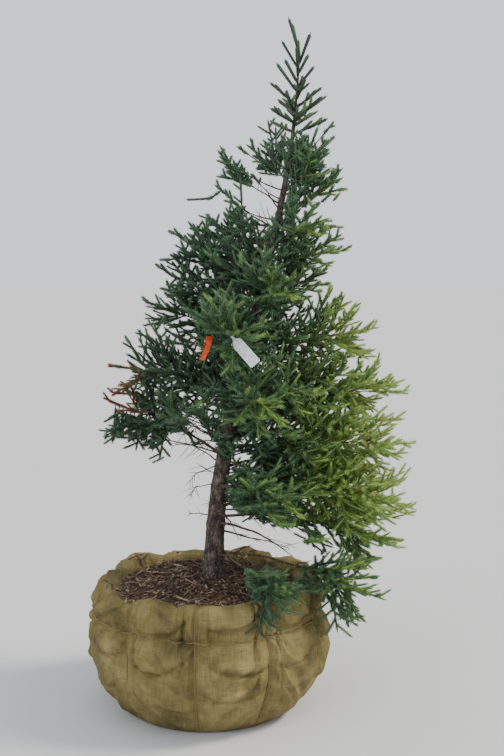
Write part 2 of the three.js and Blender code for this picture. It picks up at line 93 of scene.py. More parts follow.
# Burlap: how far the twine, the folds and the hem push it, and how wide they are
PILLOW_SWELL = 1.30  # the pillows of the cloth against those of the CAD ball
TIE_DEPTH, TIE_WIDTH = 0.016, 0.020  # along an upright
BELT_DEPTH, BELT_WIDTH = 0.010, 0.016
PLEATS, PLEAT_DEPTH, PLEAT_REACH = 8, 0.008, 0.09  # round a knot
SLACK, CRUMPLE = 0.022, 0.0022
CREASE_BELOW, CREASE_ABOVE = 0.007, 0.013
BULGE, BULGE_RISE, BULGE_WIDTH = 0.85, 0.036, 0.028  # of the cloth over a crease
HEM_OUT, HEM_UP = 0.030, 0.020
# The rolled rim from its outside over its top to the soil: height and radius
RIM = [(0.571, 0.478), (0.5755, 0.462), (0.574, 0.444), (0.566, 0.426), (0.556, 0.412),
       (0.544, 0.403), (0.536, 0.396)]

# Trunk
TRUNK_OFFSET = 0.025
TRUNK_LENGTH = 2.000
TRUNK_FOOT_RADIUS = 0.047
TRUNK_TAPER = 0.0186
TRUNK_SIDES, TRUNK_RINGS, RING_CROWDING = 36, 46, 1.35
FLARE = 0.014
FLARE_HEIGHT = 0.045
ROOT_LOBES = 3
LOBE_DEPTH = 0.16
LOBE_TURN = 0.4
LEAN = 0.390
LEAN_SPAN = 2.450
KNOT_SWELL, KNOT_SPAN = 0.0035, 0.014  # where a whorl leaves the trunk
BARK_DEPTHS = (0.0012, 0.0024)  # on a thin and on a thick part of the trunk

# Whorls of boughs from the ground up: height, climb from one limb to the next, first bearing,
# step, count, reach to the right, to the left and to the front or back, lift of a tip on the right
# and on the left, bow of the limb, bare share, and posture of the sprays
Whorl = namedtuple("Whorl", "height climb first step count right left deep up up_left bow bare "
                            "posture")
WHORLS = [Whorl(*row) for row in (
    (0.110, 0.000, -62, 40, 2, 0.860, 0.500, 0.670, -0.160, 0.000, 0.060, 0.40, -0.40),
    (0.250, 0.030, -50, 52, 3, 0.870, 0.500, 0.640, -0.150, 0.000, 0.060, 0.38, -0.30),
    (0.420, 0.045, -64, 48, 3, 0.950, 0.500, 0.600, -0.120, 0.000, 0.060, 0.36, -0.20),
    (0.610, -0.015, -110, 97, 4, 0.890, 0.550, 0.600, 0.040, 0.250, 0.030, 0.30, -0.35),
    (0.800, 0.020, -75, 90, 4, 0.840, 0.590, 0.580, 0.030, 0.120, 0.030, 0.24, 0.00),
    (1.030, 0.025, -96, 90, 4, 0.600, 0.490, 0.600, 0.090, 0.160, 0.010, 0.20, 0.10),
    (1.210, 0.035, 185, 95, 4, 0.330, 0.450, 0.450, 0.150, 0.230, -0.020, 0.00, 0.25),
    (1.380, 0.050, 180, 160, 4, 0.350, 0.430, 0.360, 0.150, 0.220, -0.030, 0.00, 0.35),
    (1.600, 0.055, 190, 160, 5, 0.290, 0.280, 0.270, 0.215, 0.200, -0.020, 0.00, 0.45),
)]
WHORL_MIDDLES = [whorl.height + whorl.climb * (whorl.count - 1) / 2 for whorl in WHORLS]
LONG_LIMB = 0.700
BOUGH_RADIUS = 0.008
STEM_RADIUS = 0.004
STEM_TIP_RADIUS = 0.002
STEM_SHORT = 0.7  # of a spray's length, by which a stem ends before its limb
LEADER_LENGTH = 0.375
LEADER_RADIUS = 0.009
LEADER_TIP_RADIUS = 0.003
LEADER_SEAT = 0.004
LEADER_TOP_LENGTH = 0.155
LEADER_TOP_WAY = Vector((-0.31, 0, 0.95)).normalized()

# Sprays: openings are in degrees from the stem, turns in radians round it
SPRAY_LENGTH = 0.250
SPRAY_CURL = 0.06
SPRAY_SPACING = 0.195
SPREADS = (0.62, 1.08)
OPENING, OPENING_PLAY = 52, 14
PAIR_TURNS, TURN_PLAY = (0.15, 1.05, -0.9), 0.4
TIP_SEAT = 0.008
FORK_OVER = 0.222
FORK_ALONG, FORK_ASIDE, FORK_LENGTH = 0.42, 45, 0.6
SECOND_TRY = 0.7
OWN_SPACE = 0.7

# Finer sprays that fill a bough
FILL_TURNS, FILL_TURN_PLAY = (1.35, -0.35, 0.55, -1.3), 0.8
FILL_OPENING, FILL_OPENING_PLAY = 50, 24
FILL_POSTURE = 0.7
FILL_LENGTHS = (0.5, 0.85)
FILL_PITCH, INNER_PITCH = 0.0125, 0.019

# Side shoots of a spray
SIDE_PITCH, FINE_SIDE_PITCH = 0.026, 0.029
SIDE_STRETCH = (0.14, 0.92)
SIDE_OPENING, SIDE_OPENING_PLAY = 46, 18
SIDE_TURN, SIDE_TURN_PLAY = 0.25, 1.3
SIDE_LENGTHS = (0.46, 0.30)  # of the spray's, near its foot and near its tip
SIDE_CURL = 0.05
BARE_FOOT = 0.12
TWIG_RADII, BARE_TWIG_RADII = (0.0022, 0.0012), (0.0020, 0.0008)
SIGHTS = (0, 0.35, 0.7, 1)  # shares of a shoot that are looked at for the open places

# Fingers of the leader
FINGERS = 21
FINGER_TURN = 137.5  # degrees from one to the next, for the small boughs between the whorls too
FINGER_OPENINGS = (70, 24)
FINGER_LENGTHS = (0.205, 0.125)
FINGER_CROWDING = 1.25
SHORT_FINGER = 0.75
CLUB_DENSITY, CLUB_STEM, CLUB_HUG = 2.6, 0.0080, 0.6
SIDE_CLUB_DENSITY, SIDE_CLUB_STEM, SIDE_CLUB_HUG = 2.0, 0.0068, 0.5

# Label and ribbon
FRONT_BOUGH = "6_1"
TAG_ALONG, STEM_PAST_TAG = 0.86, 0.05
TAG_LENGTH, TAG_WIDTH, TAG_SLOPE, TAG_NECK = 0.132, 0.048, -49, 0.026
NECK_WIDTHS, NECK_FLARE = (0.004, 0.0055), 0.006
TAG_THICKNESS = 0.0008
TAG_ROOM = 0.02  # kept free of shoots round the label
RIBBON_TWIG_ALONG, RIBBON_BARE = 0.7, 0.118
RIBBON_WAY = Vector((-1, -0.35, 0.08)).normalized()
RIBBON_WIDTH, RIBBON_LONG, RIBBON_SHORT = 0.025, 0.098, 0.064
RIBBON_THICKNESS = 0.0004

# Small boughs between the whorls
INNER_FROM, INNER_TO, INNER_STEP = 0.48, 1.88, 0.016
INNER_LOWEST = 0.30  # below INNER_FROM they only stand on the right
INNER_LOW_BEARINGS = (-72, 60)
INNER_TO_RIGHT = 24  # degrees by which they crowd to the right, where the crown is widest
INNER_REACHES = (0.45, 0.90)  # of the whorls' reach there
INNER_LEFT_REACH, INNER_LEFT_BELOW = 0.85, 1.05  # the least on the left, up to this height
INNER_LEFT_LIFT, INNER_SPREAD = 0.6, 0.85
INNER_LEVEL = 4

# Open places in the crown, as the front view shows them: metres to the right and up at the trunk's
# distance
OPEN_PLACES = [
    [(0.06, 0.63), (0.43, 0.63), (0.43, 0.76), (0.25, 0.84), (0.06, 0.905)],
    [(0.03, 0.50), (0.12, 0.50), (0.19, 0.63), (0.03, 0.63)],
    [(0.182, 2.220), (0.305, 2.220), (0.330, 2.406), (0.245, 2.381), (0.156, 2.330)],
    [(0.500, 2.228), (0.620, 2.228), (0.620, 2.296), (0.500, 2.285)],
    [(-0.150, 1.030), (0.042, 1.030), (0.042, 1.108), (-0.185, 1.252)],
    [(-0.079, 1.234), (0.004, 1.170), (0.042, 1.181), (-0.019, 1.280), (-0.073, 1.310)],
]
OPEN_GRAIN, OPEN_RAGGED = 8, (0.05, 0.06)  # how ragged their edges are, across and up
# Stretches of trunk left free in front: from, to, and the width on the left, twice the right's
BARE_TRUNK = [(0.60, 1.10, 0.048), (2.22, 2.41, 0.018)]

# Needles: how many in all, their length and width, and the green shoot that they stand on
NEEDLE_COUNT = 870_000
NEEDLE_LENGTH = 0.0135
CLUB_NEEDLE = 0.0125  # on the club-shaped shoots of the leader
DEAD_NEEDLE, DEAD_DENSITY = 0.0115, 1.5
DENSITIES = (0.45, 1.15)  # of needles inside the crown and outside it
STOUTNESS, TOP_STOUTNESS = (1.35, 1.0), (1.0, 1.3)  # of shoots, going outwards and upwards
NEEDLE_WIDTH = 0.0031
NEEDLE_TURN, NEEDLE_TURN_PLAY = 2.39996, 0.9
NEEDLE_LEAN, NEEDLE_LEAN_PLAY, HUG_LEAN = 50, 18, 10  # degrees from the shoot
FAN_FROM = 0.92  # share of a shoot from which its needles fan out over the tip
SHOOT_RADIUS = 0.0044
DEAD_STEM = 0.0022
BLUNT_TIP = 0.008
SHORTEST_SHOOT = 0.012
PIECE_NEEDLES = 165_000  # a joined piece of foliage has no more needles than these

# Columns of a shoot's row of numbers
ROOT, ALONG = slice(0, 3), slice(3, 6)
LENGTH, CURL, DENSITY, NEEDLE, START, HUG, STEM = range(6, 13)


def mix(low, high, share):
    return low + (high - low) * share


def soft_step(low, high, value):
    share = min(1, max(0, (value - low) / (high - low)))
    return share * share * (3 - 2 * share)


def dice(seed):
    """The repeatable row of numbers from 0 to 1 that the CAD solids use"""
    state = seed

    def roll():
        nonlocal state
        state = state * 16807 % 2147483647
        return state / 2147483647
    return roll


def outward(bearing):
    return Vector((math.cos(bearing), math.sin(bearing), 0))


def noise_round(bearing, grain, level):
    """Noise that closes on itself round the ball"""
    return noise.noise(Vector((math.cos(bearing) * grain, math.sin(bearing) * grain, level)))


def paint(red, green, blue):
    """A screen colour, 0 to 255, as a linear base colour"""
    def linear(value):
        value /= 255
        return value / 12.92 if value <= 0.04045 else ((value + 0.055) / 1.055) ** 2.4
    return linear(red), linear(green), linear(blue), 1.0


# Camera, light and floor

def put_in(name, data):
    """A new object in the scene, at the origin"""
    thing = bpy.data.objects.new(name, data)
    bpy.context.scene.collection.objects.link(thing)
    return thing


def set_camera():
    camera = put_in("camera", bpy.data.cameras.new("camera"))
    camera.location = VIEWPOINT
    camera.rotation_euler = (math.radians(90 - CAMERA_TILT), 0, 0)
    camera.data.sensor_width = SENSOR_WIDTH
    camera.data.lens = CAMERA_LENS
    bpy.context.scene.camera = camera


def add_lamp(name, kind, way, power, tint, **settings):
    data = bpy.data.lights.new(name, kind)
    data.energy = power
    data.color = tint
    for key, value in settings.items():
        setattr(data, key, value)
    lamp = put_in(name, data)
    lamp.rotation_euler = Vector(way).to_track_quat("-Z", "Y").to_euler()
    return lamp


def set_lights():
    """A broad warm key from the upper right, a weak fill from the front left, an even surround"""
    add_lamp("key", "SUN", SUN_WAY, SUN_POWER, (1.0, 0.94, 0.82), angle=math.radians(SUN_ANGLE))
    fill = add_lamp("front_fill", "AREA", FILL_WAY, FILL_POWER, (0.88, 0.94, 1.0), shape="DISK",
                    size=FILL_SIZE)
    fill.location = FILL_PLACE
    world = bpy.data.worlds.new("studio")
    world.use_nodes = True
    surround = world.node_tree.nodes["Background"]
    surround.inputs["Color"].default_value = SURROUND_COLOUR
    surround.inputs["Strength"].default_value = SURROUND_POWER
    bpy.context.scene.world = world


def deselect_all():
    for piece in bpy.context.selected_objects:
        piece.select_set(False)


def make_active(piece):
    deselect_all()
    piece.select_set(True)
    bpy.context.view_layer.objects.active = piece


def set_floor():
    deselect_all()
    bpy.ops.mesh.primitive_circle_add(vertices=96, radius=FLOOR_RADIUS, fill_type="NGON",
                                      location=(0, 0, FLOOR_HEIGHT))
    floor = bpy.context.object
    floor.name = "floor"
    floor.data.materials.append(new_material("pale_floor", FLOOR_COLOUR, 0.9)[0])


# Materials, whose patterns lie in the object's own space

def new_material(name, colour, roughness):
    """A material with its shader and that shader's base colour and roughness"""
    material = bpy.data.materials.new(name)
    material.use_nodes = True
    shader = material.node_tree.nodes["Principled BSDF"]
    shader.inputs["Base Color"].default_value = colour
    shader.inputs["Roughness"].default_value = roughness
    shader.inputs["Specular IOR Level"].default_value = 0.3
    return material, shader


def add_node(material, kind, **settings):
    node = material.node_tree.nodes.new(kind)
    for key, value in settings.items():
        if key in node.inputs:
            node.inputs[key].default_value = value
        else:
            setattr(node, key, value)
    return node


def wire(material, source, target):
    material.node_tree.links.new(source, target)


def own_space(material):
    return add_node(material, "ShaderNodeTexCoord").outputs["Object"]


def stretched_space(material, space, scale):
    stretch = add_node(material, "ShaderNodeMapping")
    stretch.inputs["Scale"].default_value = scale
    wire(material, space, stretch.inputs["Vector"])
    return stretch.outputs["Vector"]


def pattern(material, kind, space, output="Fac", **settings):
    """A texture in a space, such as noise or waves"""
    texture = add_node(material, kind, **settings)
    wire(material, space, texture.inputs["Vector"])
    return texture.outputs[output]


def mottle(material, space, scale, detail, roughness=0.5):
    return pattern(material, "ShaderNodeTexNoise", space, Scale=scale, Detail=detail,
                   Roughness=roughness)


def tones(material, source, first, last, *between):
    """Colours for a pattern's values. Each stop is a value and its colour."""
    ramp = add_node(material, "ShaderNodeValToRGB")
    stops = ramp.color_ramp.elements
    for stop, (value, colour) in zip(stops, (first, last)):
        stop.position = value
        stop.color = colour
    for value, colour in between:
        stops.new(value).color = colour
    wire(material, source, ramp.inputs["Fac"])
    return ramp.outputs["Color"]


def combine(material, operation, first, second):
    node = add_node(material, "ShaderNodeMath", operation=operation)
    wire(material, first, node.inputs[0])
    wire(material, second, node.inputs[1])
    return node.outputs["Value"]


def darken(material, colour, shadow, factor):
    """One colour multiplied by another"""
    blend = add_node(material, "ShaderNodeMix", data_type="RGBA", blend_type="MULTIPLY")
    blend.inputs["Factor"].default_value = factor
    wire(material, colour, blend.inputs[6])
    wire(material, shadow, blend.inputs[7])
    return blend.outputs[2]


def add_relief(material, shader, height, strength, distance):
    bump = add_node(material, "ShaderNodeBump", Strength=strength, Distance=distance)
    wire(material, height, bump.inputs["Height"])
    wire(material, bump.outputs["Normal"], shader.inputs["Normal"])


def mottled_material(name, colour, roughness, grain, dark, pale, relief=None):
    """A finish that varies between two colours, with relief from the same pattern"""
    material, shader = new_material(name, colour, roughness)
    patches = mottle(material, own_space(material), *grain)
    wire(material, tones(material, patches, dark, pale), shader.inputs["Base Color"])
    if relief:
        add_relief(material, shader, patches, *relief)
    return material


# Dark, middle and pale tone of each bark, and the plates in a metre
BARKS = {
    "trunk_bark": (paint(50, 43, 40), paint(86, 76, 71), paint(132, 116, 106), 84.0),
    "bough_bark": (paint(52, 40, 32), paint(92, 74, 58), paint(128, 108, 86), 110.0),
    "dead_bark": (paint(34, 27, 23), paint(60, 50, 44), paint(96, 84, 74), 140.0),
    "twig_bark": (paint(66, 50, 38), paint(92, 74, 56), paint(120, 100, 78), 150.0),
    "bark_shreds_dark": (paint(40, 30, 24), paint(68, 54, 45), paint(96, 80, 68), 70.0),
    "bark_shreds_brown": (paint(78, 60, 46), paint(116, 94, 76), paint(148, 124, 102), 70.0),
    "bark_shreds_pale": (paint(126, 104, 82), paint(172, 150, 124), paint(204, 184, 158), 70.0),
}


def bark_material(name):
    """Scaly bark: plates of uneven colour with dark cracks"""
    dark, middle, pale, size = BARKS[name]
    material, shader = new_material(name, middle, 0.9)
    space = stretched_space(material, own_space(material), (1, 1, 0.5))
    plates = pattern(material, "ShaderNodeTexVoronoi", space, "Distance",
                     feature="DISTANCE_TO_EDGE", Scale=size)
    tone = tones(material, mottle(material, space, size * 0.5, 6.0, 0.65), (0.34, dark),
                 (0.66, pale), (0.5, middle))
    crack = tones(material, plates, (0.0, (0.35, 0.33, 0.32, 1)), (0.16, (1, 1, 1, 1)))
    wire(material, darken(material, tone, crack, 1.0), shader.inputs["Base Color"])
    add_relief(material, shader, mottle(material, space, size * 4, 4.0), 0.5, 0.002)
    return material


def burlap_material():
    """Coarse plain weave: two sets of threads, thicker and thinner, on cloth of uneven colour"""
    material, shader = new_material("burlap_weave", paint(128, 116, 70), 0.95)
    cloth = add_node(material, "ShaderNodeUVMap", uv_map="weave").outputs["UV"]
    threads = [pattern(material, "ShaderNodeTexWave", cloth, bands_direction=direction,
                       Scale=110.0, Distortion=1.2, Detail=1.0, **{"Detail Scale": 3.0})
               for direction in ("X", "Y")]
    weave = combine(material, "MAXIMUM", *threads)
    cloud = mottle(material, own_space(material), 5.0, 7.0, 0.62)
    tone = tones(material, cloud, (0.30, paint(84, 75, 46)), (0.72, paint(166, 151, 103)),
                 (0.50, paint(129, 116, 70)))
    between = tones(material, weave, (0.1, (0.45, 0.42, 0.38, 1)), (0.8, (1, 1, 1, 1)))
    slubs = combine(material, "ADD", *[
        mottle(material, stretched_space(material, cloth, scale), 1.0, 2.0)
        for scale in ((14, 420, 1), (420, 14, 1))])
    streak = add_node(material, "ShaderNodeMapRange",
                      **{"From Min": 0.7, "From Max": 1.3, "To Min": 0.62, "To Max": 1.25})
    wire(material, slubs, streak.inputs["Value"])
    worn = add_node(material, "ShaderNodeVectorMath", operation="SCALE")
    wire(material, darken(material, tone, between, 0.8), worn.inputs[0])
    wire(material, streak.outputs["Result"], worn.inputs["Scale"])
    wire(material, worn.outputs["Vector"], shader.inputs["Base Color"])
    add_relief(material, shader, combine(material, "ADD", weave, slubs), 0.5, 0.0015)
    return material


def twine_material():
    material, shader = new_material("plant_fibre", paint(124, 104, 66), 0.9)
    strands = pattern(material, "ShaderNodeTexWave", own_space(material),
                      bands_direction="DIAGONAL", Scale=95.0, Distortion=2.0)
    tone = tones(material, strands, (0.0, paint(82, 66, 40)), (1.0, paint(156, 134, 90)))
    wire(material, tone, shader.inputs["Base Color"])
    add_relief(material, shader, strands, 0.6, 0.001)
    return material


def soil_material():
    return mottled_material("packed_soil", paint(66, 50, 38), 1.0, (70.0, 8.0, 0.7),
                            (0.35, paint(38, 28, 22)), (0.70, paint(104, 80, 62)), (0.8, 0.004))


def label_material():
    return mottled_material("white_vinyl", paint(214, 217, 220), 0.45, (60.0, 6.0, 0.6),
                            (0.30, paint(186, 189, 192)), (0.62, paint(222, 225, 228)))


def ribbon_material():
    return mottled_material("orange_film", paint(206, 68, 32), 0.4, (45.0, 4.0),
                            (0.35, paint(184, 54, 24)), (0.65, paint(224, 88, 46)))


def coat(piece, material):
    piece.data.materials.append(material)
    return piece


# The tree's limbs

def trunk_radius(height):
    return TRUNK_FOOT_RADIUS - TRUNK_TAPER * height + FLARE * math.exp(-height / FLARE_HEIGHT)


def trunk_axis(height):
    lean = LEAN / 2 * (1 - math.cos(math.pi * height / LEAN_SPAN))
    return Vector((TRUNK_OFFSET + lean, 0.0, BALL_TOP + GAP + height))


def square_to(along):
    """Two directions square to a line, the second as near upright as it can be"""
    side = (BACK if abs(along.z) > 0.96 else UP).cross(along).normalized()
    return side, along.cross(side)


def opened(along, opening, turn):
    """A direction that opens from a stem, turned round it from its right-hand side"""
    side, rise = square_to(along)
    swing = math.sin(opening)
    return (along * math.cos(opening) + side * (swing * math.cos(turn))
            + rise * (swing * math.sin(turn)))


def opened_aside(along, opening, turn, k):
    """The same, with every other one on the left"""
    return opened(along, opening, turn if k % 2 else math.pi - turn)


class Limb:
    """The curve of a bough and of the stem that goes on from it through its mass of needles"""

    def __init__(self, name, start, bow, end, level):
        self.name, self.start, self.bow, self.end, self.level = name, start, bow, end, level
        marks = [self.point(k / 200) for k in range(201)]
        self.length = sum((b - a).length for a, b in zip(marks, marks[1:]))

    def point(self, t):
        return self.start.lerp(self.bow, t).lerp(self.bow.lerp(self.end, t), t)

    def tangent(self, t):
        return (self.bow - self.start).lerp(self.end - self.bow, t).normalized()

    def survey(self, from_share):
        """Marks the space that the limb's own sprays belong to"""
        self.from_share = from_share
        self.space = np.array([self.point(mix(from_share, 1, k / 8)) for k in range(9)])


def whorl_limb(name, whorl, bearing, climb, share, level):
    """A bough of a whorl, or one between whorls that goes a share of their reach"""
    to_right, to_back = math.cos(bearing), math.sin(bearing)
    widest = whorl.right if to_right > 0 else whorl.left
    reach = share / math.hypot(to_right / widest, to_back / whorl.deep)
    lift = share * mix(whorl.up_left, whorl.up, (1 + to_right) / 2)
    start = trunk_axis(whorl.height + climb)
    end = start + Vector((reach * to_right, reach * to_back, lift))
    bow = start.lerp(end, 0.5) + UP * (2 * whorl.bow * share)
    limb = Limb(name, start, bow, end, level)
    limb.bare, limb.posture = whorl.bare, whorl.posture
    limb.survey(limb.bare + 1.1 * GAP / limb.length if limb.bare else 0)
    limb.spread = SPRAY_LENGTH * mix(*SPREADS, min(1, limb.length / LONG_LIMB))
    limb.stem_end = 1 - STEM_SHORT * limb.spread / limb.length
    if name == FRONT_BOUGH:
        limb.stem_end = TAG_ALONG + STEM_PAST_TAG
    return limb


def plan_limbs():
    limbs = []
    for level, whorl in enumerate(WHORLS):
        for k in range(whorl.count):
            bearing = math.radians(whorl.first + k * whorl.step)
            limb = whorl_limb(f"{level + 1}_{k + 1}", whorl, bearing, k * whorl.climb, 1, level)
            limb.seed = 100 + 10 * level + k
            limbs.append(limb)
    return limbs


def whorl_at(height):
    """What a whorl at this height would be, between the two nearest ones"""
    last = len(WHORLS) - 1
    upper = next((k for k, middle in enumerate(WHORL_MIDDLES) if middle > height), last)
    lower = max(0, upper - 1)
    share = 0
    if upper != lower:
        low, high = WHORL_MIDDLES[lower], WHORL_MIDDLES[upper]
        share = min(1, max(0, (height - low) / (high - low)))
    return Whorl(*[mix(low, high, share) for low, high in zip(WHORLS[lower], WHORLS[upper])])


def plan_inner_limbs():
    """Small boughs between the whorls, one after another round the trunk"""
    chance = dice(2024)
    inner = []
    height, k = INNER_LOWEST, 0
    while height < INNER_TO:
        bearing = FINGER_TURN * k + 20 * chance()
        bearing -= INNER_TO_RIGHT * math.sin(math.radians(bearing))
        if height < INNER_FROM:
            bearing = mix(*INNER_LOW_BEARINGS, bearing % 360 / 360)
        whorl = whorl_at(height)
        whorl = whorl._replace(height=height, up_left=whorl.up_left * INNER_LEFT_LIFT)
        share = mix(*INNER_REACHES, chance())
        if math.cos(math.radians(bearing)) < -0.4 and height < INNER_LEFT_BELOW:
            share = max(share, INNER_LEFT_REACH)
        limb = whorl_limb(f"inner_{k}", whorl, math.radians(bearing), 0, share, INNER_LEVEL)
        limb.seed = 3000 + k
        limb.spread *= INNER_SPREAD
        inner.append(limb)
        height += INNER_STEP * mix(0.7, 1.3, chance())
        k += 1
    return inner


def plan_leader():
    start = trunk_axis(TRUNK_LENGTH - LEADER_SEAT)
    end = trunk_axis(TRUNK_LENGTH + LEADER_LENGTH)
    leader = Limb("leader", start, trunk_axis(TRUNK_LENGTH + LEADER_LENGTH / 2), end, len(WHORLS))
    leader.survey(0)
    return leader


limbs = plan_limbs()
inner_limbs = plan_inner_limbs()
leader = plan_leader()
all_limbs = [*limbs, leader]


def limb_named(name):
    return next(limb for limb in limbs if limb.name == name)


front_limb = limb_named(FRONT_BOUGH)


def is_own_space(limb, tip):
    """A spray belongs where its own stem is the nearest one"""
    place = np.array(tip)
    own = np.linalg.norm(limb.space - place, axis=1).min()
    return all(other is limb
               or np.linalg.norm(other.space - place, axis=1).min() > OWN_SPACE * own
               for other in all_limbs)


# Sprays

class Spray:
    """A twig that carries side shoots"""

    def __init__(self, root, along, length, order):
        self.root, self.along, self.length, self.order = root, along, length, order

    def point(self, share):
        return (self.root + self.along * (self.length * share)
                + UP * (SPRAY_CURL * self.length * share ** 2))

    def tangent(self, share):
        return (self.along + UP * (2 * SPRAY_CURL * share)).normalized()


sprays = []


def add_spray(root, along, length, order):
    spray = Spray(root, along, length, order)
    sprays.append(spray)
    return spray


def try_spray(limb, root, along, length, order=0):
    """A spray, if it stays in its own limb's space. The finest ones may go where they like."""
    if order < 2 and not is_own_space(limb, root + along * length):
        return None
    return add_spray(root, along, length, order)


def with_posture(along, lift):
    return Vector((along.x, along.y, along.z + lift)).normalized()


def grow_mass(limb):
    """The sprays of the CAD solid, in the same order of draws"""
    chance = dice(limb.seed)
    end = limb.stem_end
    bushy = limb.length * (end - limb.from_share)
    count = int(bushy / (SPRAY_SPACING * limb.spread) + 0.5)
    tangent = limb.tangent(end)
    try_spray(limb, limb.point(end) - tangent * TIP_SEAT, tangent,
              limb.length * (1 - end) + TIP_SEAT)
    for k in range(count):
        share = (k + 0.5) / count
        t = mix(limb.from_share, end, share)
        root = limb.point(t)
        turn = PAIR_TURNS[k // 2 % 3] + TURN_PLAY * (chance() - 0.5)
        opening = math.radians(OPENING + OPENING_PLAY * (chance() - 0.5))
        swell = 0.62 + 0.38 * math.sin(math.pi * (0.2 + 0.7 * share))
        length = limb.spread * swell * mix(0.9, 1.1, chance())
        chance()  # the CAD solid's draw for the twig's own turn
        along = with_posture(opened_aside(limb.tangent(t), opening, turn, k), limb.posture)
        grown = try_spray(limb, root, along, length)
        if not grown:
            length *= SECOND_TRY
            grown = try_spray(limb, root, along, length)
        if grown and length >= FORK_OVER:
            aside = opened_aside(along, math.radians(FORK_ASIDE), 0, k + 1)
            try_spray(limb, grown.point(FORK_ALONG), aside, FORK_LENGTH * length, 1)


def fill_mass(limb, pitch, bare, order):
    """Finer twigs all along a bough, in turn up, level and down on either side"""
    chance = dice(limb.seed + 1000)
    count = int(limb.length * (limb.stem_end - bare) / pitch)
    for k in range(count):
        t = mix(bare, limb.stem_end, (k + 0.5) / count)
        turn = FILL_TURNS[k % 4] + FILL_TURN_PLAY * (chance() - 0.5)
        opening = math.radians(FILL_OPENING + FILL_OPENING_PLAY * (chance() - 0.5))
        along = with_posture(opened_aside(limb.tangent(t), opening, turn, k),
                             limb.posture * FILL_POSTURE)
        try_spray(limb, limb.point(t), along, limb.spread * mix(*FILL_LENGTHS, chance()), order)


def add_more(name, count, stretch, ways, lengths):
    """Sprays along a stretch of one limb, that take the ways and lengths in turn"""
    limb = limb_named(name)
    for k in range(count):
        add_spray(limb.point(mix(*stretch, k / (count - 1))),
                  Vector(ways[k % len(ways)]).normalized(), lengths[k % len(lengths)], 2)


for limb in limbs:
    grow_mass(limb)
for limb in limbs:
    fill_mass(limb, FILL_PITCH, max(0.1, limb.bare * (0.35 if limb.level >= 3 else 0.75)), 2)
# Hanging sprays low on the left, upright ones at the top left, and a lone twig at the left
add_more("4_4", 16, (0.42, 0.90), [(-0.12, -0.45, -0.85), (-0.12, 0.45, -0.85)],
         [0.13, 0.16, 0.19])
add_more("9_3", 9, (0.5, 0.98),
         [(-0.60, -0.7, 0.25), (-0.60, 0.5, 1.0), (-0.60, -0.7, 0.55),
          (-0.60, 0.5, 0.25), (-0.60, -0.7, 1.0), (-0.60, 0.5, 0.55)],
         [0.09, 0.10, 0.11, 0.12])
lone_spray = add_spray(limb_named("9_1").point(0.88), Vector((-0.75, -0.10, -0.60)).normalized(),
                       0.075, 2)
for limb in inner_limbs:
    fill_mass(limb, INNER_PITCH, 0.2, 3)
    add_spray(limb.point(0.8), limb.tangent(0.8), 0.3 * limb.length, 3)


# Shoots and their colours

# Greens from painted shade to painted sunlight, lit and shaded copies of one needle colour: dusk,
# deep,
# blue and forest for shoots in more or less shade, leaf and sunlit for shoots in the key light,
# fresh for
# new growth in the key light, gold for sunlit tips. Dead is the dead shoots' own rusty colour.
SHADES = {
    "dusk_shade": (paint(56, 73, 58), 0.75),
    "deep": (paint(70, 90, 68), 0.75),
    "blue": (paint(79, 108, 78), 0.7),
    "forest": (paint(90, 118, 76), 0.7),
    "leaf": (paint(106, 138, 76), 0.65),
    "sunlit": (paint(134, 160, 80), 0.6),
    "fresh_and_sunlit": (paint(154, 178, 98), 0.6),
    "sunlit_gold": (paint(160, 166, 90), 0.65),
    "dead": (paint(138, 86, 60), 0.85),
}
# Steps from painted shade to painted sunlight that pick a shoot's green
SHADE_STEPS = [(-0.55, "deep"), (0.05, "blue"), (0.30, "forest"), (0.65, "leaf"),
               (1.05, "sunlit")]
shoots = {shade: [] for shade in SHADES}
twig_lines = []  # (points, radius at the start, radius at the end)

# The box in which most shoots are dead, at the left
DEAD_LOW = Vector((-0.56, -0.40, 1.36))
DEAD_HIGH = Vector((-0.33, 0.30, 1.60))
DEAD_SHARE = 0.85


def centre_at(z):
    return trunk_axis(max(0, min(2.3, z - BALL_TOP)))


def outer_share(point):
    """How near the crown's outside a place is: 0 on the trunk, 1 at the whorls' reach"""
    centre = centre_at(point.z)
    away = Vector((point.x - centre.x, point.y - centre.y))
    distance = away.length
    if distance < 0.01:
        return 0.0
    whorl = whorl_at(point.z - BALL_TOP - 0.08)
    widest = whorl.right if away.x > 0 else whorl.left
    reach = distance / math.hypot(away.x / widest, away.y / whorl.deep)
    return min(1.2, distance / reach)


def shade_of(point, outer, chance):
    """The green of a shoot, with painted light: painted sunlight on the right and outside, painted
    shade at the left, inside, low down and at the top
    """
    if chance < DEAD_SHARE and all(low < p < high
                                   for low, p, high in zip(DEAD_LOW, point, DEAD_HIGH)):
        return "dead"
    # Painted sunlight from the key on the right, weaker at the top, where painted shade darkens
    # the shoots
    high = soft_step(1.75, 2.35, point.z)
    sun = (point.x - centre_at(point.z).x) / 0.62 * mix(1, 0.7, high) - 0.22 * high
    # Painted shade on the low shoots, and a painted shadow on the lower middle of the crown, at
    # and left of the trunk
    low = 1 - soft_step(0.62, 1.0, point.z)
    inward = (1 - soft_step(0.28, 0.50, point.x)) * (1 - soft_step(1.05, 1.35, point.z))
    # Painted shade inside the crown and painted light on the outer tips, partly new growth, with a
    # random share of tone
    value = sun + 0.9 * (outer - 0.75) + 0.8 * (chance - 0.5) - max(0.85 * low, 0.35 * inward)
    for limit, shade in SHADE_STEPS:
        if value < limit:
            return shade
    return "sunlit_gold" if chance > 0.9 else "fresh_and_sunlit"


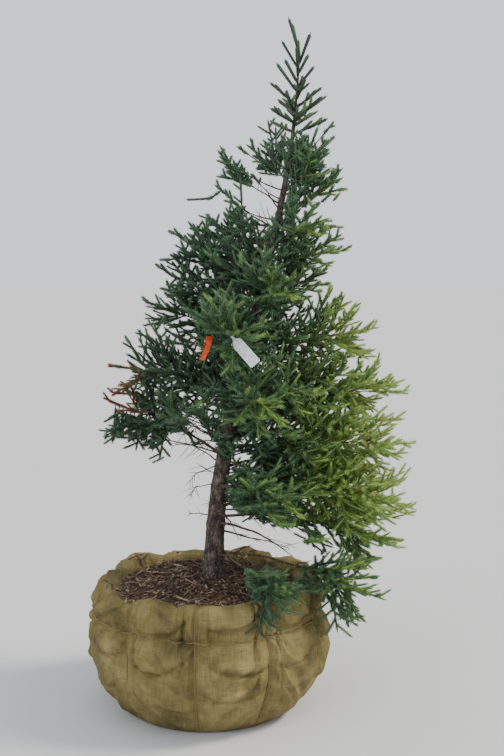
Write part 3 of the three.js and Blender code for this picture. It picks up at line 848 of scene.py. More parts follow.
def hides_label(place):
    """Whether a place is in front of the label or the ribbon, where shoots leave them free"""
    centre = front_limb.point(TAG_ALONG)
    if place.y > centre.y + 0.03:
        return False
    slope = math.radians(TAG_SLOPE)
    away = place - centre
    down = away.x * math.cos(slope) + away.z * math.sin(slope)
    aside = away.z * math.cos(slope) - away.x * math.sin(slope)
    if 0.05 < down < TAG_NECK + TAG_LENGTH + TAG_ROOM and abs(aside) < 0.5 * TAG_WIDTH + TAG_ROOM:
        return True
    knot = front_limb.point(RIBBON_TWIG_ALONG) + RIBBON_WAY * (RIBBON_BARE - 0.5 * RIBBON_WIDTH)
    return (abs(place.x - knot.x) < 0.045 and place.y < knot.y + 0.06
            and -RIBBON_LONG - 0.035 < place.z - knot.z < 0.012)


def in_the_open(place):
    """Whether a place is in one of the open places, or in front of the bare trunk"""
    nearer = -VIEWPOINT.y / (place.y - VIEWPOINT.y)
    seen = VIEWPOINT + (place - VIEWPOINT) * nearer
    across = seen.x + OPEN_RAGGED[0] * noise.noise(place * OPEN_GRAIN)
    up = seen.z + OPEN_RAGGED[1] * noise.noise(place * OPEN_GRAIN + UP)
    if place.y < 0 and any(
            low < up < high and -half < across - trunk_axis(up - BALL_TOP).x < 0.5 * half
            for low, high, half in BARE_TRUNK):
        return True
    return any(all((bx - ax) * (up - ay) > (by - ay) * (across - ax)
                   for (ax, ay), (bx, by) in zip(corners, corners[1:] + corners[:1]))
               for corners in OPEN_PLACES)


def room_for(root, along, length):
    """The length, or as much of it as the CAD model's box has room for"""
    for axis in range(3):
        low, high = cad_bounds[0][axis] - 0.006, cad_bounds[1][axis] + 0.006
        if not low < root[axis] < high:
            return 0
        if along[axis]:
            edge = high if along[axis] > 0 else low
            length = min(length, (edge - root[axis]) / along[axis])
    return length


def add_shoot(shade, root, along, length, curl, density, stem, needle=NEEDLE_LENGTH, start=0.0,
              hug=0.0):
    """A shoot with needles, where there is room and nothing has to show past it.

    Curl lifts its tip, stem is its radius, start its bare share, and hug lays the needles closer.
    """
    length = room_for(root, along, length)
    if any(hides_label(root + along * (length * share)) for share in (0, 0.25, 0.5, 0.75, 1)):
        return
    if any(in_the_open(root + along * (length * share)) for share in SIGHTS):
        return
    if length > SHORTEST_SHOOT:
        shoots[shade].append((*root, *along, length, curl, density, needle, start, hug, stem))


def clothe(shade, outer, root, along, length, curl, start):
    """A shoot whose needles stand closer the further out it is, or a thin dead one"""
    if shade == "dead":
        add_shoot(shade, root, along, 0.85 * length, curl, DEAD_DENSITY, DEAD_STEM, DEAD_NEEDLE,
                  start)
        return
    share = soft_step(0.30, 0.90, outer)
    stout = max(mix(*STOUTNESS, share), mix(*TOP_STOUTNESS, soft_step(1.6, 2.1, root.z)))
    add_shoot(shade, root, along, length, curl, mix(*DENSITIES, share), stout * SHOOT_RADIUS,
              start=start)


def dress_spray(spray, chance):
    """Side shoots right and left of a twig, longest near its foot, and needles on the twig"""
    bare = any(in_the_open(spray.point(share)) for share in SIGHTS)
    if bare and (in_the_open(spray.root) or chance() < 0.6):
        if chance() < 0.25:
            twig_lines.append(([spray.point(s) for s in (0, 0.25, 0.5)], *BARE_TWIG_RADII))
        return
    outer = outer_share(spray.point(1))
    shade = shade_of(spray.point(1), outer, chance())
    clothe(shade, outer, spray.root, spray.along, spray.length, SPRAY_CURL, BARE_FOOT)
    line = [spray.point(s) for s in (0, 0.45, 0.95 if bare else 0.7)]
    twig_lines.append((line, *TWIG_RADII))
    pitch = SIDE_PITCH if spray.order == 0 else FINE_SIDE_PITCH
    count = max(2, int(spray.length * 0.85 / pitch))
    for k in range(count):
        share = mix(*SIDE_STRETCH, (k + 0.6 * chance()) / count)
        turn = SIDE_TURN + SIDE_TURN_PLAY * (chance() - 0.5)
        opening = math.radians(SIDE_OPENING + SIDE_OPENING_PLAY * (chance() - 0.5))
        along = opened_aside(spray.tangent(share), opening, turn, k)
        length = spray.length * mix(*SIDE_LENGTHS, share) * mix(0.75, 1.2, chance())
        root = spray.point(share)
        end = root + along * length
        outer = outer_share(end)
        clothe(shade_of(end, outer, chance()), outer, root, along, length, SIDE_CURL, 0.0)


def dress_sprays():
    """Dresses every spray, and gives the lone one at the left a shoot that points away"""
    chance = dice(77)
    for spray in sprays:
        dress_spray(spray, chance)
    away = Vector((-1, -0.06, -0.12)).normalized()
    add_shoot("deep", lone_spray.point(0.8), away, 0.11, SIDE_CURL, 2.2, 0.0066, CLUB_NEEDLE, 0.0,
              SIDE_CLUB_HUG)


def grow_leader():
    """Club-shaped fingers round the leader, wide apart and long below, steep and close on top"""
    chance = dice(555)
    for k in range(FINGERS):
        share = ((k + 0.6) / FINGERS) ** FINGER_CROWDING
        opening = math.radians(mix(*FINGER_OPENINGS, share))
        length = (mix(*FINGER_LENGTHS, share) * (SHORT_FINGER if k % 3 == 1 else 1)
                  * mix(0.8, 1, share))
        along = opened(UP, opening, math.radians(FINGER_TURN * k))
        root = leader.point(mix(0.05, 1, share))
        # The leader's fingers take the darkest greens, painted shade on the top of the crown
        shade = "dusk_shade" if chance() < 0.7 else "deep"
        add_shoot(shade, root, along, length, SPRAY_CURL, CLUB_DENSITY, CLUB_STEM, CLUB_NEEDLE,
                  0.08, CLUB_HUG)
        if share > 0.45:
            continue
        for side in range(4 if share < 0.25 else 2):
            place = mix(0.25, 0.75, (side + chance()) / 4)
            aside = opened_aside(along, math.radians(44), 0.3, side)
            add_shoot("forest" if chance() < 0.4 else "deep", root + along * (length * place),
                      aside, length * mix(0.5, 0.35, place), SPRAY_CURL, SIDE_CLUB_DENSITY,
                      SIDE_CLUB_STEM, CLUB_NEEDLE, 0.0, SIDE_CLUB_HUG)
    add_shoot("dusk_shade", leader.point(0.98), LEADER_TOP_WAY, LEADER_TOP_LENGTH, SPRAY_CURL,
              CLUB_DENSITY, CLUB_STEM, CLUB_NEEDLE, 0.0, CLUB_HUG)


# Needles as joined meshes

def mesh_piece(name, points, triangles, material):
    """One object from arrays of points and triangles"""
    mesh = bpy.data.meshes.new(name)
    mesh.vertices.add(len(points))
    mesh.vertices.foreach_set("co", np.ascontiguousarray(points, np.float32).ravel())
    mesh.loops.add(3 * len(triangles))
    corners = np.ascontiguousarray(triangles, np.int32).ravel()
    mesh.loops.foreach_set("vertex_index", corners)
    mesh.polygons.add(len(triangles))
    mesh.polygons.foreach_set("loop_start", np.arange(0, len(corners), 3, dtype=np.int32))
    mesh.update(calc_edges=True)
    return coat(put_in(name, mesh), material)


def unit(rows):
    return rows / np.maximum(np.linalg.norm(rows, axis=1, keepdims=True), 1e-9)


def along_shoot(row, share):
    """Places on shoots and the way the shoots go there"""
    up = np.array([0.0, 0.0, 1.0])
    curl, share = row[:, [CURL]], share[:, None]
    way = row[:, [LENGTH]] * share
    place = row[:, ROOT] + row[:, ALONG] * way + up * curl * way * share
    tangent = unit(row[:, ALONG] + 2 * up * curl * share)
    side = unit(np.cross(up, tangent) + 1e-6)
    return place, tangent, side, np.cross(tangent, side)


def needle_spikes(row, per_metre, rng):
    """Needles round each shoot, each one pointed triangle, fanned out at the shoot's blunt tip"""
    counts = row[:, LENGTH] * (1 - row[:, START]) * row[:, DENSITY] * per_metre
    counts = np.maximum(8, counts.astype(int))
    which = np.repeat(np.arange(len(row)), counts)
    number = len(which)
    order = np.arange(number) - np.repeat(np.cumsum(counts) - counts, counts)
    row = row[which]
    start, hug = row[:, START], row[:, HUG]
    share = start + (1 - start) * (order + rng.random(number)) / counts[which]
    axis, tangent, side, rise = along_shoot(row, share)
    turn = order * NEEDLE_TURN + rng.random(number) * NEEDLE_TURN_PLAY
    radial = side * np.cos(turn)[:, None] + rise * np.sin(turn)[:, None]
    lean = NEEDLE_LEAN - HUG_LEAN * hug + NEEDLE_LEAN_PLAY * (rng.random(number) - 0.5)
    lean = np.radians(lean * np.where(share > FAN_FROM, rng.random(number), 1))
    out = tangent * np.cos(lean)[:, None] + radial * np.sin(lean)[:, None]
    out[:, 2] += 0.12 * (1 - hug)
    out = unit(out)
    size = row[:, NEEDLE] * (0.85 + 0.30 * rng.random(number)) * (1 - 0.8 * hug * (1 - share))
    size[share > FAN_FROM] *= 0.65
    across = unit(np.cross(out, radial)) * (NEEDLE_WIDTH / 2)
    base = axis + radial * (row[:, STEM] * 0.6 * (1 - share))[:, None]
    points = np.stack([base - across, base + across, base + out * size[:, None]], axis=1)
    return points.reshape(-1, 3), np.arange(3 * number).reshape(-1, 3)


def shoot_stems(row):
    """The green stem of each shoot, four-sided, with a ring at its foot and one near its tip"""
    rings = []
    for share, wide in ((np.zeros(len(row)), 0.65), (1 - BLUNT_TIP / row[:, LENGTH], 1.0)):
        place, _, side, rise = along_shoot(row, share)
        for angle in np.radians([45, 135, 225, 315]):
            rings.append(place + (side * math.cos(angle) + rise * math.sin(angle))
                         * (row[:, [STEM]] * wide))
    rings.append(along_shoot(row, np.ones(len(row)))[0])
    points = np.stack(rings, axis=1).reshape(-1, 3)
    sides = np.array([face for a, b in ((0, 1), (1, 2), (2, 3), (3, 0))
                      for face in ((a, b, b + 4), (a, b + 4, a + 4), (a + 4, b + 4, 8))])
    first = np.arange(len(row))[:, None, None] * 9
    return points, (first + sides[None]).reshape(-1, 3)


def needle_load(rows):
    """How many needles some shoots carry, but for a common factor"""
    return sum((1 - shoot[START]) * shoot[LENGTH] * shoot[DENSITY] for shoot in rows)


def foliage_pieces():
    """Shoots of one shade joined: their stems and their needles"""
    per_metre = NEEDLE_COUNT / needle_load(shoot for rows in shoots.values() for shoot in rows)
    rng = np.random.default_rng(2026)
    pieces = []
    for shade, rows in shoots.items():
        colour, roughness = SHADES[shade]
        material, _ = new_material(f"needles_{shade}", colour, roughness)
        parts = math.ceil(needle_load(rows) * per_metre / PIECE_NEEDLES)
        for part in range(parts):
            row = np.array(rows[part::parts])
            points, triangles = needle_spikes(row, per_metre, rng)
            stem_points, stem_triangles = shoot_stems(row)
            triangles = np.concatenate([triangles, stem_triangles + len(points)])
            name = f"foliage_{shade}" + (f"_{part + 1}" if parts > 1 else "")
            points = np.concatenate([points, stem_points])
            pieces.append(mesh_piece(name, points, triangles, material))
    return pieces


def tube(points, first_radius, last_radius, sides=3):
    """A tapering tube along points that ends in a tip"""
    rings = []
    for k, place in enumerate(points[:-1]):
        along = (points[k + 1] - points[max(0, k - 1)]).normalized()
        side, rise = square_to(along)
        radius = mix(first_radius, last_radius, k / (len(points) - 1))
        rings += [place + side * (radius * math.cos(a)) + rise * (radius * math.sin(a))
                  for a in (2 * math.pi * j / sides for j in range(sides))]
    rings.append(points[-1])
    last = (len(points) - 2) * sides
    faces = []
    for first in range(0, last, sides):
        for j in range(sides):
            a, b = first + j, first + (j + 1) % sides
            faces += [(a, b, b + sides), (a, b + sides, a + sides)]
    faces += [(last + j, last + (j + 1) % sides, len(rings) - 1) for j in range(sides)]
    return rings, faces


def twig_piece():
    points, faces = [], []
    for line, first_radius, last_radius in twig_lines:
        rings, own = tube(line, first_radius, last_radius)
        faces += [[corner + len(points) for corner in face] for face in own]
        points += rings
    return mesh_piece("twigs", np.array(points), np.array(faces), bark_material("twig_bark"))


# Bark

def draw_up(name, sides, stations):
    """A round body drawn up ring by ring from its foot. A station is a centre and a radius."""
    deselect_all()
    bpy.ops.mesh.primitive_circle_add(vertices=sides, radius=stations[0][1],
                                      location=stations[0][0])
    piece = bpy.context.object
    piece.name = name
    bpy.ops.object.transform_apply(location=True, rotation=True, scale=True)
    bpy.ops.object.mode_set(mode="EDIT")
    bpy.ops.mesh.select_all(action="SELECT")
    for (low, radius), (high, next_radius) in zip(stations, stations[1:]):
        bpy.ops.mesh.extrude_region_move(TRANSFORM_OT_translate={"value": high - low})
        scale = next_radius / radius
        bpy.ops.transform.resize(value=(scale, scale, 1), center_override=high)
    for _ in ("top", "foot"):
        bpy.ops.mesh.edge_face_add()
        bpy.ops.mesh.poke()
        bpy.ops.mesh.select_all(action="DESELECT")
        bpy.ops.mesh.select_non_manifold()
    bpy.ops.mesh.select_all(action="SELECT")
    bpy.ops.mesh.normals_make_consistent(inside=False)
    bpy.ops.object.mode_set(mode="OBJECT")
    return piece


def smooth_out(piece, levels=2):
    """Subdivides a piece smoothly for good"""
    make_active(piece)
    finer = piece.modifiers.new("finer", "SUBSURF")
    finer.levels = levels
    finer.render_levels = levels
    bpy.ops.object.modifier_apply(modifier=finer.name)
    bpy.ops.object.shade_smooth()


def reshape(piece, offset):
    """Moves every point of a piece by what offset gives for it"""
    mesh = piece.data
    places = [Vector(v.co) for v in mesh.vertices]
    moved = np.array([place + offset(place) for place in places], np.float32)
    mesh.vertices.foreach_set("co", moved.ravel())
    mesh.update()


def drawn_out(place, across, up):
    return Vector((place.x * across, place.y * across, place.z * up))


def bark_relief(place, strength):
    """Depth of the scaly plates and the cracks between them"""
    near, _ = noise.voronoi(drawn_out(place, 80, 44))
    plate = min(1, (near[1] - near[0]) / 0.35)
    grain = noise.fractal(place * 90, 1.0, 2.0, 3)
    crack = 1 - abs(noise.noise(drawn_out(place, 34, 7))) * 3
    return strength * (0.9 * (plate - 0.6) + 0.25 * grain - 0.7 * max(0, crack - 0.55))


def trunk_piece():
    heights = [TRUNK_LENGTH * (row / TRUNK_RINGS) ** RING_CROWDING
               for row in range(TRUNK_RINGS + 1)]
    stations = [(trunk_axis(h), trunk_radius(h)) for h in heights]
    foot = trunk_axis(0), 0.9 * trunk_radius(0)
    piece = draw_up("trunk_bark", TRUNK_SIDES, [foot, *stations])
    smooth_out(piece)

    def offset(place):
        height = place.z - BALL_TOP - GAP
        centre = trunk_axis(max(0.0, height))
        out = Vector((place.x - centre.x, place.y - centre.y, 0))
        radius = out.length
        if radius < 1e-4:
            return Vector()
        out /= radius
        lobe = math.cos(ROOT_LOBES * math.atan2(out.y, out.x) - LOBE_TURN)
        lobes = LOBE_DEPTH * math.exp(-height / FLARE_HEIGHT) * lobe
        knots = sum(KNOT_SWELL * math.exp(-((height - whorl.height) / KNOT_SPAN) ** 2)
                    for whorl in WHORLS)
        edge = min(1, max(0, height / 0.01))
        strength = mix(*BARK_DEPTHS, min(1, radius / 0.05)) * edge
        return out * (radius * lobes + knots + bark_relief(place, strength))
    reshape(piece, offset)
    return coat(piece, bark_material("trunk_bark"))


def rods(name, lines, sides):
    """Round rods along lines of points, each with a radius for every point, as one mesh"""
    curve = bpy.data.curves.new(name, "CURVE")
    curve.dimensions = "3D"
    curve.bevel_depth = 1.0
    curve.bevel_resolution = max(0, sides // 2 - 2)
    curve.use_fill_caps = True
    for points, radii in lines:
        spline = curve.splines.new("POLY")
        spline.points.add(len(points) - 1)
        for point, place, radius in zip(spline.points, points, radii):
            point.co = (*place, 1)
            point.radius = radius
    make_active(put_in(name, curve))
    bpy.ops.object.convert(target="MESH")
    bpy.ops.object.shade_smooth()
    return bpy.context.object


def wander(points, amount, seed):
    """The same line with small natural bends, its ends kept"""
    bent = []
    for k, place in enumerate(points):
        hold = math.sin(math.pi * k / (len(points) - 1))
        shift = noise.noise_vector(place * 9 + Vector((seed, 0, 0)))
        bent.append(place + shift * (amount * hold))
    return bent


def bough_piece():
    """Boughs and the stems that go on from them, the small boughs of the middle and the leader"""
    lines = []
    steps = [k / 14 for k in range(15)]
    for limb in limbs:
        points = [limb.point(mix(0, limb.stem_end, step)) for step in steps]
        thick = BOUGH_RADIUS if limb.bare else STEM_RADIUS * 1.3
        radii = [mix(thick, STEM_TIP_RADIUS, step ** 0.8) for step in steps]
        lines.append((wander(points, 0.012, limb.seed), radii))
    steps = [k / 8 for k in range(9)]
    for limb in inner_limbs:
        points = [limb.point(0.95 * step) for step in steps]
        radii = [mix(STEM_RADIUS, 0.0014, step) for step in steps]
        lines.append((wander(points, 0.010, limb.seed), radii))
    lines.append(([leader.point(step) for step in steps],
                  [mix(LEADER_RADIUS, LEADER_TIP_RADIUS, step) for step in steps]))
    piece = rods("bough_bark", lines, 8)
    reshape(piece, lambda place: noise.noise_vector(place * 160) * 0.0006)
    return coat(piece, bark_material("bough_bark"))


# Bare dead branches at the foot of the crown: points right of the origin, to the back and up, and
# the thickness at the trunk
DEAD_BRANCHES = [
    ([(0.05, -0.01, 0.800), (0.13, -0.05, 0.792), (0.20, -0.08, 0.778), (0.28, -0.11, 0.768),
      (0.375, -0.13, 0.745)], 0.0052),
    ([(0.05, -0.02, 0.668), (0.12, -0.08, 0.658), (0.16, -0.12, 0.640), (0.21, -0.15, 0.622)],
     0.0040),
    ([(0.12, -0.08, 0.658), (0.16, -0.13, 0.630), (0.175, -0.15, 0.600)], 0.0024),
    ([(0.04, 0.01, 1.100), (-0.05, -0.04, 1.075), (-0.09, -0.06, 1.030)], 0.0030),
    ([(0.04, 0.00, 1.020), (-0.05, -0.03, 1.010), (-0.08, -0.05, 0.965)], 0.0028),
    ([(0.05, 0.00, 1.060), (0.00, -0.06, 1.090), (-0.05, -0.10, 1.130)], 0.0026),
    ([(0.03, 0.02, 0.900), (0.01, 0.10, 0.905), (0.00, 0.18, 0.890)], 0.0036),
    ([(0.03, 0.00, 0.860), (-0.04, 0.04, 0.872), (-0.10, 0.07, 0.860)], 0.0034),
    ([(0.04, 0.01, 0.950), (0.10, 0.07, 0.960), (0.17, 0.13, 0.945)], 0.0036),
]


def dead_branch_piece():
    """Each branch bends a little and keeps a few thin side twigs"""
    chance = dice(31)
    lines = []
    for corners, thick in DEAD_BRANCHES:
        corners = [Vector(corner) for corner in corners]
        points = [low.lerp(high, k / 4) for low, high in zip(corners, corners[1:])
                  for k in range(4)]
        points = wander([*points, corners[-1]], 0.010, thick * 9000)
        last = len(points) - 1
        lines.append((points, [mix(thick, 0.0010, k / last) for k in range(last + 1)]))
        for k in range(3, last):
            along = (points[k + 1] - points[k]).normalized()
            for side in (0, math.pi):
                if chance() < 0.35:
                    continue
                opening = math.radians(45 + 25 * chance())
                out = opened(along, opening, side + 1.4 * (chance() - 0.5))
                length = mix(0.02, 0.075, chance())
                end = points[k] + out * length + UP * (-0.15 * length)
                bend = points[k].lerp(end, 0.5) + UP * 0.002
                lines.append(([points[k], bend, end], [0.0014, 0.0010, 0.0005]))
    return coat(rods("dead_branches", lines, 6), bark_material("dead_bark"))


# Root ball

def ball_radius(height):
    if height < BALL_WIDEST:
        share = 1 - height / BALL_WIDEST
        return BALL_RADIUS - (BALL_RADIUS - BALL_FOOT_RADIUS) * share ** 2.2
    share = (height - BALL_WIDEST) / (RIM_HEIGHT - BALL_WIDEST)
    return BALL_RADIUS - (BALL_RADIUS - BALL_SHOULDER_RADIUS) * share ** 2


def swelling(height):
    if height <= BELT_HEIGHT:
        return max(0.0, math.sin(math.pi * height / BELT_HEIGHT)) ** 0.6
    share = min(1, (height - BELT_HEIGHT) / (RIM_HEIGHT - BELT_HEIGHT))
    return math.sin(0.5 * math.pi * share)


# Folds that sag between two uprights: from and to of their heights, and of their depths
SWAG_BANDS = [((0.440, 0.50), (0.014, 0.026)), ((0.28, 0.37), (0.010, 0.028)),
              ((0.11, 0.20), (0.004, 0.020))]
ball_chance = dice(4711)
pillow_size = [0.6 + 0.5 * ball_chance() for _ in range(LACES)]
rim_lump = [RIM_LUMP * (2 * ball_chance() - 1) for _ in range(LACES)]
# Each fold's height in the middle, rise at the sides, tilt and depth
swags = [[(mix(*heights, ball_chance()), mix(0.02, 0.11, ball_chance()),
           mix(-0.16, 0.16, ball_chance()), mix(*depths, ball_chance()))
          for heights, depths in SWAG_BANDS] for _ in range(LACES)]


def swag_depth(pillow, across, height):
    """Pinched creases with the cloth bulging over them"""
    total = 0.0
    hold = math.sin(math.pi * across) ** 0.6
    for middle, rise, tilt, depth in swags[pillow]:
        above = height - middle - rise * (2 * across - 1) ** 2 - tilt * (across - 0.5)
        width = CREASE_BELOW if above < 0 else CREASE_ABOVE
        bulge = BULGE * math.exp(-((above - BULGE_RISE) / BULGE_WIDTH) ** 2)
        total += depth * hold * (bulge - math.exp(-(above / width) ** 2))
    return total


def cloth_offset(place):
    """How the burlap swells between the twine, gathers at its knots, sags and wrinkles"""
    bearing = math.atan2(place.y, place.x)
    radius = math.hypot(place.x, place.y)
    lace = (math.degrees(bearing) - LACE_FROM) % 360 / (360 / LACES)
    pillow, across = int(lace) % LACES, lace % 1
    dome = math.sin(math.pi * across) ** 0.5
    inward = min(across, 1 - across)
    outside = soft_step(0.39, 0.47, radius) if place.z > 0.5 else 1.0
    foot = soft_step(0.0, 0.05, place.z)
    rim = soft_step(0.53, 0.57, place.z)

    push = PILLOW_SWELL * PILLOW * pillow_size[pillow] * swelling(place.z) * dome
    lift = (rim_lump[pillow] * dome * soft_step(0.50, 0.57, place.z)
            * soft_step(0.40, 0.43, radius))
    around = inward * (2 * math.pi / LACES) * BALL_RADIUS
    from_belt = place.z - BELT_HEIGHT
    tied = TIE_DEPTH * math.exp(-(around / TIE_WIDTH) ** 2) * soft_step(0.02, 0.12, place.z)
    tied += BELT_DEPTH * math.exp(-(from_belt / BELT_WIDTH) ** 2)
    knot = math.hypot(around, from_belt)
    pleat = math.cos(PLEATS * math.atan2(from_belt, around) + pillow)
    gathers = PLEAT_DEPTH * pleat * math.exp(-knot / PLEAT_REACH) * soft_step(0.004, 0.03, knot)
    skew = bearing + 1.5 * place.z * (1 if pillow % 2 else -1) * soft_step(0, 0.25, inward)
    fold = abs(noise_round(skew, 6, place.z * 3.5))
    slack = SLACK * (0.40 - fold * 2.2) * soft_step(0.03, 0.20, inward)
    crumple = CRUMPLE * noise.fractal(place * 22, 0.9, 2.0, 3)
    sag = swag_depth(pillow, across, place.z) * (1 - rim)
    hem = noise_round(bearing, 5.5, place.z * 6)
    edge = 0
    if radius < 0.47:
        edge = HEM_OUT * hem * soft_step(0.525, 0.55, place.z)
        edge *= 1 - soft_step(0.43, 0.47, radius)
    total = push + gathers + slack + crumple - tied + sag
    return (outward(bearing) * (total * foot * outside + edge)
            + UP * ((lift + HEM_UP * hem * rim) * foot))


def lay_cloth_map(piece):
    """A map in metres round the ball and up it, for the weave"""
    mesh = piece.data
    layer = mesh.uv_layers.new(name="weave")
    for polygon in mesh.polygons:
        first = None
        for corner in polygon.loop_indices:
            place = mesh.vertices[mesh.loops[corner].vertex_index].co
            bearing = math.atan2(place.y, place.x)
            first = bearing if first is None else first
            if abs(bearing - first) > math.pi:
                bearing -= math.copysign(2 * math.pi, bearing - first)
            radius = math.hypot(place.x, place.y)
            level = place.z if place.z > 0.01 else radius - BALL_FOOT_RADIUS
            if place.z > 0.5:
                level += max(0, BALL_SHOULDER_RADIUS - radius)
            layer.data[corner].uv = (bearing * BALL_RADIUS, level)


def rings_at(levels):
    return [(UP * height, radius) for height, radius in levels]


def ball_piece():
    levels = [(0, 0.20), (0, 0.36), (0, 0.39)]
    heights = [0.006, 0.02, *[0.02 + 0.54 * k / 29 for k in range(1, 30)]]
    levels += [(height, ball_radius(height)) for height in heights]
    piece = draw_up("burlap_wrap", BALL_SIDES, rings_at([*levels, *RIM]))
    smooth_out(piece)
    lay_cloth_map(piece)
    reshape(piece, cloth_offset)
    return coat(piece, burlap_material())


def twine_piece(ball):
    """A belt and ten uprights that lie in the creases of the burlap"""
    def on_cloth(bearing, height):
        out = outward(bearing)
        _, spot, _, _ = ball.ray_cast(out * 0.8 + UP * height, -out)
        return spot + out * (TWINE_RADIUS - TWINE_SINK)

    def on_rim(bearing, radius):
        _, spot, _, _ = ball.ray_cast(outward(bearing) * radius + UP * 0.9, -UP)
        return spot + UP * (TWINE_RADIUS * 0.7)

    courses = [[on_cloth(2 * math.pi * k / 180, BELT_HEIGHT) for k in range(181)]]
    for lace in range(LACES):
        bearing = math.radians(LACE_FROM + 360 * lace / LACES)
        courses.append([on_cloth(bearing, mix(0.02, 0.552, k / 60)) for k in range(61)]
                       + [on_rim(bearing, r) for r in (0.478, 0.462, 0.446, 0.430, 0.416)])
    lines = [(course, [TWINE_RADIUS] * len(course)) for course in courses]
    return coat(rods("twine_lacing", lines, 8), twine_material())


# Soil and bark shreds on the ball

# The packed soil's outline: share of its radius and height
MOUND = [(0, BALL_TOP), (0.3, BALL_TOP), (0.72, SOIL_SEAT + 0.024), (0.95, SOIL_SEAT + 0.010),
         (1.05, SOIL_SEAT)]
MOUND_RADIUS = BALL_SHOULDER_RADIUS - 2 * RIM_ROLL - 20 * GAP
SOIL_RINGS = (0.402, 0.370, 0.340, 0.305, 0.270, 0.235, 0.200, 0.165, 0.130, 0.095, 0.065)
CLOD = 0.006


def mound_height(radius):
    """Height of the packed soil at a distance from the ball's middle"""
    share = radius / MOUND_RADIUS
    for (low, high_z), (high, low_z) in zip(MOUND, MOUND[1:]):
        if share <= high:
            return mix(high_z, low_z, (share - low) / (high - low))
    return SOIL_SEAT


def soil_piece():
    levels = [(SOIL_SEAT - 0.010, 0.425), (SOIL_SEAT - 0.010, 0.430)]
    levels += [(mound_height(radius) - 0.002, radius) for radius in SOIL_RINGS]
    piece = draw_up("packed_soil", 64, rings_at(levels))
    smooth_out(piece)

    def offset(place):
        radius = math.hypot(place.x, place.y)
        foot = soft_step(0.05, 0.10, math.hypot(place.x - TRUNK_OFFSET, place.y))
        edge = 1 - soft_step(0.40, 0.42, radius)
        return UP * (CLOD * noise.fractal(place * 26, 0.8, 2.0, 4) * foot * edge)
    reshape(piece, offset)
    return coat(piece, soil_material())


SHREDS = {"dark": 600, "brown": 880, "pale": 300}
# A shred's eight corners as shares of its size, and its faces
SHRED_CORNERS = np.array([(-0.5, -0.5, 0), (-0.35, 0.5, 0), (0.4, 0.35, 0), (0.5, -0.3, 0),
                          (-0.45, -0.35, 1), (-0.3, 0.4, 1), (0.32, 0.3, 1), (0.42, -0.25, 1)])
SHRED_FACES = [(0, 2, 1), (0, 3, 2), (4, 5, 6), (4, 6, 7), (0, 1, 5), (0, 5, 4), (1, 2, 6),
               (1, 6, 5), (2, 3, 7), (2, 7, 6), (3, 0, 4), (3, 4, 7)]
STRIP_EVERY = 7  # a long strip among so many small ones
ROUND_TRUNK = 0.075  # kept free of shreds


def top_of(pieces, x, y):
    """The highest spot of some pieces above a place, with the way it faces"""
    best = None
    for piece in pieces:
        hit, spot, normal, _ = piece.ray_cast(Vector((x, y, 0.9)), -UP)
        if hit and (best is None or spot.z > best[0].z):
            best = spot, normal
    return best


def shred_pieces(soil, ball):
    """Flat splinters of bark on the soil, in three colours, that spill onto the rim in places"""
    rng = np.random.default_rng(7)
    pieces = []
    for tone, count in SHREDS.items():
        points, faces = [], []
        for k in range(count):
            strip = k % STRIP_EVERY == 0
            bearing = 2 * math.pi * rng.random()
            spill = noise_round(bearing, 2.6, 3) - 0.2 * math.sin(bearing)
            radius = (0.36 if strip else 0.405) * math.sqrt(rng.random())
            if rng.random() < 0.32 * soft_step(-0.1, 0.2, spill):
                radius = mix(0.37, 0.474, rng.random())
            x, y = radius * math.cos(bearing), radius * math.sin(bearing)
            ground = top_of((soil, ball), x, y)
            if math.hypot(x - TRUNK_OFFSET, y) < ROUND_TRUNK or ground is None:
                continue
            long = mix(0.08, 0.15, rng.random()) if strip else mix(0.018, 0.08, rng.random() ** 2)
            size = Vector((long, mix(0.004, 0.012, rng.random()),
                           mix(0.0015, 0.003, rng.random())))
            turn = Matrix.Rotation(2 * math.pi * rng.random(), 3, "Z")
            tip = Matrix.Rotation(math.radians(26 * (rng.random() - 0.5)), 3, "Y")
            lay = UP.rotation_difference(ground[1]).to_matrix() @ turn @ tip
            raised = UP * (0.003 * rng.random())
            faces += [[corner + len(points) for corner in face] for face in SHRED_FACES]
            points += [ground[0] + lay @ Vector(corner * np.array(size)) + raised
                       for corner in SHRED_CORNERS]
        name = f"bark_shreds_{tone}"
        pieces.append(mesh_piece(name, np.array(points), np.array(faces), bark_material(name)))
    return pieces


# Label and ribbon

def thin_piece(name, cuts, offset, thickness, sharp):
    """A flat grid laid to its shape, then given its thickness"""
    deselect_all()
    bpy.ops.mesh.primitive_grid_add(x_subdivisions=cuts[0], y_subdivisions=cuts[1], size=1)
    piece = bpy.context.object
    piece.name = name
    reshape(piece, offset)
    make_active(piece)
    wall = piece.modifiers.new("wall", "SOLIDIFY")
    wall.thickness = thickness
    wall.offset = 0
    bpy.ops.object.modifier_apply(modifier=wall.name)
    bpy.ops.object.shade_smooth_by_angle(angle=math.radians(sharp))
    return piece


def label_piece(limb):
    """A thin plate with cut corners and a narrow neck that starts at the stem, bent a little"""
    centre = limb.point(TAG_ALONG)
    slope = math.radians(TAG_SLOPE)
    down = Vector((math.cos(slope), 0, math.sin(slope)))
    over = Vector((-math.sin(slope), 0, math.cos(slope)))
    whole = TAG_NECK + TAG_LENGTH

    def offset(place):
        share, side = place.x + 0.5, place.y * 2
        way = share * whole
        wide = TAG_WIDTH / 2
        if way < TAG_NECK:
            wide = mix(*NECK_WIDTHS, way / TAG_NECK)
        elif way < TAG_NECK + NECK_FLARE:
            wide = mix(NECK_WIDTHS[1], TAG_WIDTH / 2, (way - TAG_NECK) / NECK_FLARE)
        wide -= 0.003 * soft_step(whole - 0.004, whole, way)
        bend = -0.010 * math.sin(math.pi * share) + 0.004 * side * share
        return (centre + down * (way - 0.004) + over * (side * wide)
                + Vector((0, bend - 0.0012, 0)) - place)
    return coat(thin_piece("bare_label", (40, 10), offset, TAG_THICKNESS, 40), label_material())


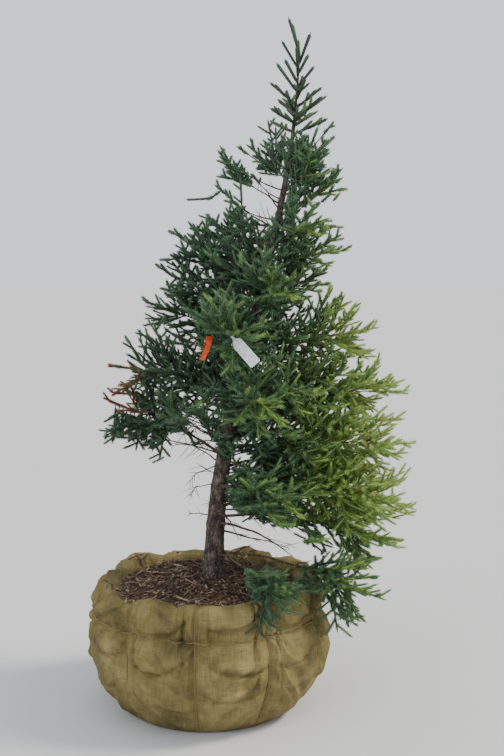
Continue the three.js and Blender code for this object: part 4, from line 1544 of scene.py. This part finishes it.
def ribbon_piece(limb):
    """A strip of film folded over its twig, the long end in front, rippled and a little twisted"""
    along = RIBBON_WAY
    side, rise = square_to(along)
    middle = limb.point(RIBBON_TWIG_ALONG) + along * (RIBBON_BARE - RIBBON_WIDTH / 2)
    inner = STEM_TIP_RADIUS + 0.0009
    half_turn = math.pi * inner
    whole = RIBBON_LONG + half_turn + RIBBON_SHORT

    def offset(place):
        way, edge = (place.x + 0.5) * whole, place.y
        front = -1 if way < RIBBON_LONG else 1
        if RIBBON_LONG <= way < RIBBON_LONG + half_turn:
            hang = 0
            turn = (way - RIBBON_LONG) / inner
            local = side * (-inner * math.cos(turn)) + rise * (inner * math.sin(turn))
        else:
            hang = RIBBON_LONG - way if front < 0 else way - RIBBON_LONG - half_turn
            local = side * (front * inner) - rise * hang
        ripple = 0.0035 * math.sin(hang * 75) * soft_step(0, 0.02, hang)
        away = 0.010 * soft_step(0, 0.09, hang) + ripple + 0.003 * edge * hang / 0.1
        sway = 0.16 * hang + 0.5 * hang * hang
        twist = edge * RIBBON_WIDTH * (1 - 0.12 * soft_step(0, 0.08, hang))
        return middle + (local + side * (front * away)) + along * (twist + sway) - place
    piece = thin_piece("flagging_ribbon", (48, 6), offset, RIBBON_THICKNESS, 50)
    return coat(piece, ribbon_material())


set_camera()
set_lights()
set_floor()

dress_sprays()
grow_leader()
needles = foliage_pieces()
twigs = twig_piece()
trunk = trunk_piece()
boughs = bough_piece()
dead = dead_branch_piece()
ball = ball_piece()
twine = twine_piece(ball)
soil = soil_piece()
shreds = shred_pieces(soil, ball)
label = label_piece(front_limb)
ribbon = ribbon_piece(front_limb)

mass_nodes = [f"needles_{limb.name}" for limb in all_limbs]
bough_nodes = [f"bough_{limb.name}" for limb in limbs if limb.bare]
for piece in [*needles, twigs, trunk, boughs, dead, ball, twine, soil, *shreds, label, ribbon]:
    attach(piece, "root")
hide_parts(*mass_nodes)
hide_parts("trunk")
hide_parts(*bough_nodes)
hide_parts("root_ball")
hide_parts("twine")
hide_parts("soil_top")
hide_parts("tag")
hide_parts("ribbon")
